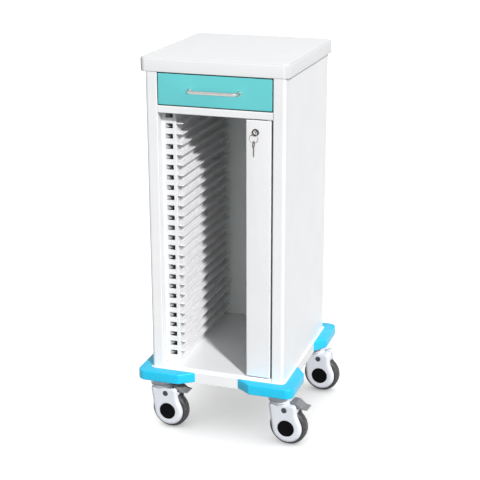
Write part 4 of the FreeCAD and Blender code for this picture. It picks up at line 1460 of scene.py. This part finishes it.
@dataclass
class Flap(SubAssembly):
    """Narrow door on pivot pins, with its cam lock and keys."""

    hole_steps: int = 64
    face_radius: float = 9.0
    face_height: float = 2.5
    barrel_radius: float = 8.0
    barrel_length: float = 13.6
    barrel_ease: float = 0.5
    barrel_play: float = 0.1
    plug_radius: float = 5.5
    plug_play: float = 0.05
    well_radius: float = 6.6
    well_depth: float = 1.2
    well_ease: float = 0.2
    ring_radius: float = 11.0
    ring_wire: float = 1.2
    wire_steps: int = 16

    PAN = Pan(rim=2.0, steps=5, wall=1.2, hem=10.0, ease=0.4, least=0.3, narrowing=1.0,
              side=1.0, back=0.8, turned=0.6)
    FACE = ((0.0, 0.0), (0.45, 0.0), (0.8, 0.4), (1.0, 1.2))  # share of its height, inset

    @property
    def lock(self) -> Vector:
        """The lock's axis, on the flap's face."""
        return joint_place("lock_turn")

    def panel(self) -> None:
        """Makes the folded panel with its round hole for the lock."""
        place = Extent.of("flap_panel")
        draft = self.PAN.draft(place, place.middle - self.carcass.middle)
        panel = draft.build("flap_door", self.shift)
        depth = 2 * self.PAN.wall
        hole = Draft().lathe([(-depth, self.barrel_radius), (depth, self.barrel_radius)],
                             Plane.FRONT, self.lock, self.hole_steps)
        combined(panel, [hole.build("lock_hole")], "DIFFERENCE")
        panel.data.set_sharp_from_angle(angle=SMOOTH_LIMIT)
        self.fit(panel, "flap_panel")

    def housing(self) -> None:
        """Makes the lock's face and barrel, with a well round the plug."""
        bore, well = self.plug_radius + self.plug_play, self.well_radius
        barrel = self.barrel_radius - self.barrel_play
        tip, face = self.barrel_length, -self.face_height
        profile = [(tip, bore), (tip, self.barrel_radius - self.barrel_ease),
                   (tip - self.barrel_ease, barrel), (0.0, barrel),
                   *[(face * share, self.face_radius - inset) for share, inset in self.FACE],
                   (face, well + self.well_ease), (face + self.well_ease, well),
                   (face + self.well_depth, well), (face + self.well_depth, bore)]
        draft = Draft().lathe(profile, Plane.FRONT, self.lock, capped=False)
        self.fit(draft.crisp("cam_lock_body"), "lock_housing", "dark_chrome")

    def ring(self) -> None:
        """Makes the key ring."""
        place = Extent.of("key_ring")
        centre = (place.middle, (place.y0 + place.y1) / 2, (place.z0 + place.z1) / 2)
        wire = self.ring_wire / 2
        profile = [(b, self.ring_radius + a) for a, b in circle(wire, self.wire_steps)]
        draft = Draft().lathe(profile, Plane.FRONT, centre, capped=False)
        self.fit(draft.build("split_ring"), "key_ring", "key_nickel")

    def build(self) -> None:
        """Makes the panel, lock face and ring, and dresses the small parts."""
        self.panel()
        self.housing()
        self.ring()
        self.dress("flap_hinge_pins", "flap_hinge_bushes", "lock_nut", "lock_plug", "lock_cam")
        self.dress("key", "spare_key", finish="key_nickel")


@dataclass(frozen=True)
class Cross:
    """An axis across a caster: ahead of the axle, above it, and the flats of what it turns."""

    ahead: float = 0.0
    above: float = 0.0
    steps: int = ROUND_STEPS


@dataclass
class Casters(SubAssembly):
    """Four covered swivel casters, the front two with brake pedals.

    A caster is drawn with its swivel axis on Z and its wheel trailing towards +X.
    """

    wheel_radius: float = 50.8
    tyre_width: float = 27.0
    tyre_depth: float = 12.5
    tyre_steps: int = 144
    shoulder: float = 8.0
    shoulder_steps: int = 12
    rim_lip: float = 1.5
    collar_radius: float = 32.0
    collar_height: float = 10.0
    collar_edge: float = 2.4
    collar_steps: int = 5
    collar_ease: float = 0.6
    head_radius: float = 27.0
    head_height: float = 13.5
    head_ease: float = 0.8
    stem_radius: float = 6.0
    stem_ease: float = 1.0
    stem_in_base: float = 20.0
    stem_in_fork: float = 13.0
    seam: float = 1.0
    half_fork: float = 25.0
    fork_edge: float = 9.5
    fork_corner: float = 11.0
    fork_grain: float = 0.8
    fork_softness: int = 5
    cover_radius: float = 41.5
    cover_lean: float = 8.0
    cover_shoulder: float = 24.0
    waist_above: float = 38.5
    waist_radius: float = 30.0
    neck_ahead: float = 27.0
    neck_above: float = 69.0
    ring_height: float = 4.0
    flare_height: float = 12.0
    flare_foot: float = 24.0
    wheel_gap: float = 2.4
    half_cavity: float = 15.0
    lug_ahead: float = 22.0
    lug_above: float = 67.0
    lug_radius: float = 12.0
    half_lug: float = 9.0
    lug_edge: float = 3.0
    lug_foot: float = 19.0
    slot_ahead: float = 28.0
    slot_above: float = 66.0
    slot_width: float = 3.0
    slot_height: float = 6.0
    slot_depth: float = 2.0
    slot_roundness: float = 0.98
    cap_radius: float = 22.6
    cap_proud: float = 1.2
    plug_radius: float = 7.4
    plug_proud: float = 0.4
    plug_back: float = 5.5
    plug_above: float = 50.4
    seat_depth: float = 1.2
    seat_gap: float = 0.4
    cut_past: float = 4.0
    pivot_ahead: float = 17.0
    pivot_above: float = 63.0
    pedal_hub: float = 6.0
    half_pedal: float = 16.5
    pedal_gap: float = 0.4
    pedal_edge: float = 0.9
    pedal_grain: float = 0.6
    pedal_softness: int = 3
    turning_room: float = 2.0
    pedal_reach: float = 55.5

    # faces of the cap and the plug, from the rim inwards: depth below the face, radius
    CAP_FACE = ((1.0, cap_radius), (0.3, cap_radius - 0.3), (0.0, cap_radius - 1.0),
                (0.0, cap_radius - 2.2), (0.25, cap_radius - 4.0), (0.4, cap_radius * 0.5),
                (0.45, 0.3))
    PLUG_FACE = ((0.5, plug_radius), (0.15, plug_radius - 0.2), (0.0, plug_radius - 0.7),
                 (0.0, 3.0), (0.9, 2.7), (0.9, 0.2))
    # the pedal's side, round from its rear end: ahead of the axle, above it, corner radius
    PEDAL = ((pivot_ahead, 69.8, 1.0), (27.0, 62.0, 3.0), (37.0, 57.5, 8.0),
             (pedal_reach, 57.5, 1.2), (pedal_reach, 60.5, 1.2), (43.0, 61.5, 14.0),
             (25.0, 75.0, 4.0))
    PEDAL_TAIL = ((69.8, 1.0), (75.0, 2.0))  # underside and top of its rear end, corner radius

    AXLE = Cross()
    TREAD = Cross(steps=tyre_steps)
    PLUG = Cross(-plug_back, plug_above, SMALL_STEPS)
    HUB = Cross(pivot_ahead, pivot_above, SMALL_STEPS)

    @property
    def trail(self) -> float:
        """From the swivel axis to the axle, seen from above."""
        return (joint_place("roll_rear_left") - joint_place("swivel_rear_left")).xy.length

    @property
    def collar_low(self) -> float:
        """Underside of the collar."""
        return self.carcass.base_bottom - self.head_height - self.collar_height

    @property
    def fork_top(self) -> float:
        """Top of the fork's rim, a seam below the collar."""
        return self.collar_low - self.seam

    def stance(self, corner: str) -> Matrix:
        """Where a caster stands, and how far it has swung.

        Args:
            corner: name of the corner.

        Returns:
            The move from the drawing to the corner, in millimetres.
        """
        pivot = joint_place("swivel_" + corner)
        axle = joint_place("roll_" + corner) - pivot
        pivot.z = 0
        return Matrix.Translation(pivot) @ Matrix.Rotation(math.atan2(axle.y, axle.x), 4, "Z")

    def from_axle(self, ahead: float, above: float) -> Point2:
        """A point of the caster's side, measured from the wheel's axle."""
        return (self.trail + ahead, self.wheel_radius + above)

    def across(self, axis: Cross, draft: Draft, profile: Iterable[Point2],
               capped: bool = True) -> Draft:
        """Turns a profile of (place across the caster, radius) points round an axis."""
        a, b = self.from_axle(axis.ahead, axis.above)
        return draft.lathe(profile, Plane.FRONT, (a, 0, b), axis.steps, capped)

    def disc(self, name: str, axis: Cross, ends: Point2, radius: float) -> Piece:
        """Makes a plain cylinder across the caster, from one end to the other."""
        return self.across(axis, Draft(), [(end, radius) for end in ends]).build(name)

    def upright(self, name: str, profile: Sequence[Point2]) -> Piece:
        """Makes a piece from (height, radius) points round the swivel axis."""
        return Draft().lathe(profile, Plane.PLAN, ORIGIN).build(name)

    def on_tangent(self, angle: float, above: float) -> Point2:
        """Where a tangent of the cover's disc passes a height above the axle."""
        slope = math.radians(angle)
        return ((self.cover_radius - above * math.sin(slope)) / math.cos(slope), above)

    def tangents_meet(self, angle_a: float, angle_b: float) -> Point2:
        """Finds where the tangents at two angles of the cover's disc cross.

        Args:
            angle_a: the first angle, in degrees.
            angle_b: the second angle, in degrees.

        Returns:
            The point, measured from the axle.
        """
        middle = math.radians((angle_a + angle_b) / 2)
        reach = self.cover_radius / math.cos(math.radians(angle_b - angle_a) / 2)
        return (reach * math.cos(middle), reach * math.sin(middle))

    def cover_outline(self) -> list[Point2]:
        """Draws the fork's side: a disc over the wheel that runs up into the neck.

        Returns:
            The outline.
        """
        trailing = 180 + self.cover_lean
        corners = [self.on_tangent(trailing, self.neck_above), self.tangents_meet(trailing, 270),
                   self.tangents_meet(270, 360), self.tangents_meet(0, self.cover_shoulder),
                   self.on_tangent(self.cover_shoulder, self.waist_above),
                   (self.neck_ahead, self.neck_above)]
        radii = [self.fork_corner, *[self.cover_radius] * 3, self.waist_radius, self.fork_corner]
        return rounded_outline([self.from_axle(*corner) for corner in corners], radii)

    def lug(self) -> Piece:
        """Makes the slotted lug that stands on the neck of a fork without a pedal.

        Returns:
            The lug.
        """
        radius, small = self.lug_radius, self.lug_edge + 1
        left, middle = self.from_axle(self.lug_ahead - radius, self.lug_above)
        right = left + 2 * radius
        top, low = middle + radius, middle - self.lug_foot
        corners = [(left, top), (left, low), (right - radius, low), (right, middle - radius / 2),
                   (right, top)]
        outline = rounded_outline(corners, [radius, small, small, radius, radius])
        piece = Draft().pillow(outline, self.half_lug, self.lug_edge).build("lug")
        half = self.slot_width / 2
        cx, cz = self.from_axle(self.slot_ahead, self.slot_above)
        slot = rectangle(half, cz - self.slot_height / 2, cz + self.slot_height / 2,
                         half * self.slot_roundness, cx)
        floor, out = self.half_lug - self.slot_depth, 2 * self.half_lug
        cuts = [Draft().prism(slot, Plane.FRONT, *ends).build("slot")
                for ends in ((-out, -floor), (floor, out))]
        return combined(piece, cuts, "DIFFERENCE")

    def seats(self) -> list[Piece]:
        """Makes the tools that cut the seats of the caps and plugs into a fork.

        Returns:
            The tools.
        """
        cuts = []
        for sign in (-1, 1):
            ends = (sign * (self.half_fork - self.seat_depth),
                    sign * (self.half_fork + self.cut_past))
            for axis, radius in ((self.AXLE, self.cap_radius), (self.PLUG, self.plug_radius)):
                cuts.append(self.disc("seat", axis, ends, radius + self.seat_gap))
        return cuts

    def pedal_bay(self) -> Piece:
        """Makes the tool that cuts the room for a pedal into a fork.

        Returns:
            The tool.
        """
        reach = self.pedal_hub + self.turning_room
        left, low = self.from_axle(self.pivot_ahead - reach, self.pivot_above - reach)
        right, high = self.trail + self.pedal_reach, self.carcass.base_bottom
        cheek = self.half_pedal + self.pedal_gap
        bay = [(left, low), (right, low), (right, high), (left, high)]
        return Draft().prism(bay, Plane.FRONT, -cheek, cheek).build("pedal_bay")

    def fork(self, braked: bool) -> Piece:
        """Makes one fork about its own swivel axis.

        Args:
            braked: carries a pedal.

        Returns:
            The fork.
        """
        draft = Draft().pillow(self.cover_outline(), self.half_fork, self.fork_edge)
        fork = draft.build("fork_braked" if braked else "fork_plain")
        if not braked:
            combined(fork, [self.lug()], "UNION")
        radius, top = self.collar_radius + self.seam, self.fork_top
        space = [(top, radius), (self.carcass.base_bottom, radius)]
        combined(fork, [self.upright("swivel", space)], "DIFFERENCE")
        ring_low = top - self.ring_height
        rim = [(ring_low - self.flare_height, self.flare_foot), (ring_low, self.collar_radius),
               (top, self.collar_radius)]
        combined(fork, [self.upright("rim", rim)], "UNION")
        ends = (-self.half_cavity, self.half_cavity)
        room = self.disc("room", self.AXLE, ends, self.wheel_radius + self.wheel_gap)
        cuts = [room, *self.seats()]
        if braked:
            cuts.append(self.pedal_bay())
        combined(fork, cuts, "DIFFERENCE")
        return moulded(fork, self.fork_grain, self.fork_softness)

    def buttons(self, name: str, axis: Cross, face: Sequence[Point2], proud: float) -> Piece:
        """Makes the round pieces that sit in the seats on both sides of a fork.

        Args:
            name: their name.
            axis: their axis.
            face: the face's points as (depth below it, radius), from the rim inwards.
            proud: how far they stand out of the fork.

        Returns:
            Both as one piece, about the swivel axis.
        """
        draft = Draft()
        for sign in (-1, 1):
            floor, out = sign * (self.half_fork - self.seat_depth), sign * (self.half_fork + proud)
            profile = [(floor, face[0][1])]
            profile += [(out - sign * depth, radius) for depth, radius in face]
            self.across(axis, draft, profile)
        return draft.crisp(name)

    def tyre(self) -> Piece:
        """Makes one tyre about the swivel axis.

        Returns:
            The tyre.
        """
        half = self.tyre_width / 2
        foot = half - self.rim_lip
        rim = self.wheel_radius - self.tyre_depth
        arc = [(half - along, self.wheel_radius - inset)
               for inset, along in quarter(self.shoulder, self.shoulder_steps)]
        profile = [(-foot, rim), (foot, rim), *arc]
        profile += [(-place, radius) for place, radius in reversed(arc)]
        return self.across(self.TREAD, Draft(), profile, capped=False).crisp("tyre")

    def collar(self) -> list[Point2]:
        """Draws the profile of the collar, the swivel head over it and their stem.

        Returns:
            Points as (height, radius).
        """
        low, high = self.collar_low, self.collar_low + self.collar_height
        base, ease = self.carcass.base_bottom, self.stem_ease
        foot, tip = self.fork_top - self.stem_in_fork, base + self.stem_in_base
        wide, head, stem = self.collar_radius, self.head_radius, self.stem_radius
        rounding = [(high - inset, wide - along)
                    for inset, along in quarter(self.collar_edge, self.collar_steps)]
        return [(foot, stem - ease), (foot + ease, stem), (low, stem),
                (low, wide - self.collar_ease), (low + self.collar_ease, wide), *rounding,
                (high, head + self.head_ease), (high + self.head_ease, head), (base, head),
                (base, stem), (tip - ease, stem), (tip, stem - ease)]

    def pedal(self) -> Piece:
        """Makes one pedal about the swivel axis: a hump over the hub and a flat tongue.

        Returns:
            The pedal.
        """
        half = self.half_pedal
        tail = self.collar_radius + self.seam + self.pedal_gap - self.trail
        rear_low, rear_high = [(tail, above, radius) for above, radius in self.PEDAL_TAIL]
        corners = [rear_low, *self.PEDAL, rear_high]
        outline = rounded_outline([self.from_axle(ahead, above) for ahead, above, _ in corners],
                                  [radius for _, _, radius in corners])
        pedal = Draft().pillow(outline, half, self.pedal_edge).build("pedal")
        combined(pedal, [self.disc("hub", self.HUB, (-half, half), self.pedal_hub)], "UNION")
        return moulded(pedal, self.pedal_grain, self.pedal_softness)

    def build(self) -> None:
        """Makes each kind of piece once and copies it to the corners."""
        forks = {True: self.fork(True), False: self.fork(False)}
        caps = self.buttons("hub_caps", self.AXLE, self.CAP_FACE, self.cap_proud)
        plugs = self.buttons("screw_plugs", self.PLUG, self.PLUG_FACE, self.plug_proud)
        tyre, pedal = self.tyre(), self.pedal()
        stems = Draft()
        for corner in CORNERS:
            stance = self.stance(corner)
            braked = corner in BRAKED
            hood = copied(forks[braked], "caster_hood_" + corner, stance)
            self.fit(hood, "caster_fork_" + corner)
            trim = "caster_trim_" + corner
            self.fit(copied(caps, "hub_caps_" + corner, stance), trim)
            self.add(copied(plugs, "screw_plugs_" + corner, stance), trim, "plug_plastic",
                     "black_plastic")
            self.fit(copied(tyre, "solid_tyre_" + corner, stance), "tyre_" + corner)
            if braked:
                self.fit(copied(pedal, "foot_pedal_" + corner, stance), "brake_pedal_" + corner)
            self.dress("caster_axle_" + corner, "wheel_core_" + corner)
            stems.lathe(self.collar(), Plane.PLAN, stance.to_translation())
        self.fit(stems.crisp("swivel_heads"), "caster_stems", "white_nylon")
        for pattern in (*forks.values(), caps, plugs, tyre, pedal):
            bpy.data.objects.remove(pattern)


# ------------------------------------------------------------------- studio
@dataclass(frozen=True)
class Camera:
    """Where the camera stands, from the cabinet's middle, and how it looks, in metres."""

    place: Colour = (0.953592, -2.867390, 1.485522)
    right: Colour = (0.94890617, 0.31554669, -0.00271599)
    up: Colour = (-0.09664809, 0.29881014, 0.94940594)
    look: Colour = (-0.30039346, 0.90063466, -0.31403977)
    lens: float = 88.99
    sensor: float = 36.0
    farthest: float = 200.0

    def build(self, middle: float) -> None:
        """Makes the camera and looks through it.

        Args:
            middle: where the cabinet's middle lies from left to right, in metres.
        """
        data = bpy.data.cameras.new("camera")
        data.lens = self.lens
        data.sensor_width = self.sensor
        data.clip_end = self.farthest
        camera = bpy.data.objects.new("camera", data)
        axes = Matrix((self.right, self.up, [-part for part in self.look])).transposed()
        place = Vector(self.place) + Vector((middle, 0, 0))
        camera.matrix_world = Matrix.Translation(place) @ axes.to_4x4()
        bpy.context.scene.collection.objects.link(camera)
        bpy.context.scene.camera = camera


@dataclass(frozen=True)
class Sun:
    """A far lamp: its strength, the way its light travels and how wide it stands, in degrees."""

    name: str
    strength: float
    travel: Colour
    angle: float

    def build(self) -> Piece:
        """Makes the lamp.

        Returns:
            The lamp.
        """
        data = bpy.data.lights.new(self.name, "SUN")
        data.energy = self.strength
        data.angle = math.radians(self.angle)
        lamp = bpy.data.objects.new(self.name, data)
        lamp.rotation_euler = Vector(self.travel).to_track_quat("-Z", "Y").to_euler()
        bpy.context.scene.collection.objects.link(lamp)
        return lamp


@dataclass(frozen=True)
class Studio:
    """Pale floor, soft sky and three suns."""

    sky: float = 0.27
    key: Sun = Sun("key", 3.45, (-0.947, 1.0, -0.94), 4.0)
    top: Sun = Sun("top", 0.35, (0.1, 0.25, -1.0), 100.0)
    fill: Sun = Sun("fill", 0.24, (-0.25, 1.0, -0.12), 40.0)
    floor_half: float = 60.0
    floor_bounce: float = 0.56
    floor_shown: float = 0.9
    # the seen floor's glow follows ambient occlusion, which paints the rack's shadow on it
    floor_open: Point2 = (0.0, 0.85)
    floor_glow: Point2 = (0.22, 1.0)
    floor_reach: float = 1.0

    NO_SHADOW = ("bow_handle", "split_ring", "key", "spare_key")

    @staticmethod
    def all_but(name: str, members: Iterable[Piece]) -> bpy.types.Collection:
        """Collects what a lamp leaves out.

        Args:
            name: the group's name.
            members: the objects that are left out.

        Returns:
            The group.
        """
        group = bpy.data.collections.new(name)
        for member in members:
            group.objects.link(member)
        for entry in group.collection_objects:
            entry.light_linking.link_state = "EXCLUDE"
        return group

    @staticmethod
    def seen(tree: bpy.types.NodeTree) -> Socket:
        """Adds a value that is 1 for what the camera sees, also mirrored or through glass.

        Args:
            tree: the tree that gets it.

        Returns:
            The value.
        """
        path = add_node(tree, "ShaderNodeLightPath").outputs
        value = path["Is Camera Ray"]
        for ray in ("Is Glossy Ray", "Is Transmission Ray"):
            rays = {0: value, 1: path[ray]}
            value = add_node(tree, "ShaderNodeMath", rays, operation="MAXIMUM").outputs["Value"]
        return value

    def backdrop(self) -> None:
        """Makes the sky: white where it is seen, dimmer for the light it gives."""
        world = bpy.data.worlds.new("studio")
        world.use_nodes = True
        tree = world.node_tree
        strength = add_node(tree, "ShaderNodeMapRange",
                            {"Value": self.seen(tree), "To Min": self.sky, "To Max": 1.0})
        feed(tree, tree.nodes["Background"], {"Color": (1.0, 1.0, 1.0, 1.0),
                                              "Strength": strength.outputs["Result"]})
        bpy.context.scene.world = world

    def floor(self) -> Piece:
        """Makes the floor: white where it is seen in the open, darker near the rack as a painted shadow, grey for
        the light it returns.

        Returns:
            The floor.
        """
        half = self.floor_half
        corners = [(-half, -half, 0), (half, -half, 0), (half, half, 0), (-half, half, 0)]
        data = bpy.data.meshes.new("floor")
        data.from_pydata(corners, [], [(0, 1, 2, 3)])
        floor = bpy.data.objects.new("floor", data)
        bpy.context.scene.collection.objects.link(floor)
        graph = Graph("pale_floor")
        graph.tree.nodes.remove(graph.shader)
        shown, plain = [graph.add("ShaderNodeBsdfDiffuse", {"Color": (tone, tone, tone, 1.0)})
                        for tone in (self.floor_shown, self.floor_bounce)]
        # painted shadow: the glow dims where ambient occlusion finds the rack close by
        air = graph.add("ShaderNodeAmbientOcclusion", {"Distance": self.floor_reach}).outputs["AO"]
        strength = graph.ramp(air, self.floor_open, self.floor_glow)
        glow = graph.add("ShaderNodeEmission", {"Strength": strength})
        bright = graph.add("ShaderNodeAddShader",
                           {0: shown.outputs["BSDF"], 1: glow.outputs["Emission"]})
        mix = graph.add("ShaderNodeMixShader", {0: self.seen(graph.tree), 1: plain.outputs["BSDF"],
                                                2: bright.outputs["Shader"]})
        feed(graph.tree, graph.output, {"Surface": mix.outputs["Shader"]})
        data.materials.append(graph.material)
        return floor

    def build(self) -> None:
        """Lights the rack and sets the view."""
        self.backdrop()
        floor = self.floor()
        key, _, fill = [lamp.build() for lamp in (self.key, self.top, self.fill)]
        for lamp in (key, fill):
            lamp.light_linking.receiver_collection = self.all_but("all_but_floor", [floor])
        slight = [bpy.data.objects[name] for name in self.NO_SHADOW]
        key.light_linking.blocker_collection = self.all_but("all_but_slight", slight)
        bpy.context.scene.view_settings.view_transform = "Standard"


def main() -> None:
    """Builds the rack's sub-assemblies in order, then the studio."""
    logging.basicConfig(level=logging.INFO, format="%(message)s")
    palette = Palette()
    carcass = Carcass.from_frame()
    Camera().build(carcass.middle * MM)
    for assembly in (Worktop, Cabinet, ChartRack, Base, Drawer, Flap, Casters):
        log.info("building %s", assembly.__name__)
        assembly(palette, carcass).build()
    Studio().build()


if __name__ == "__main__":
    main()
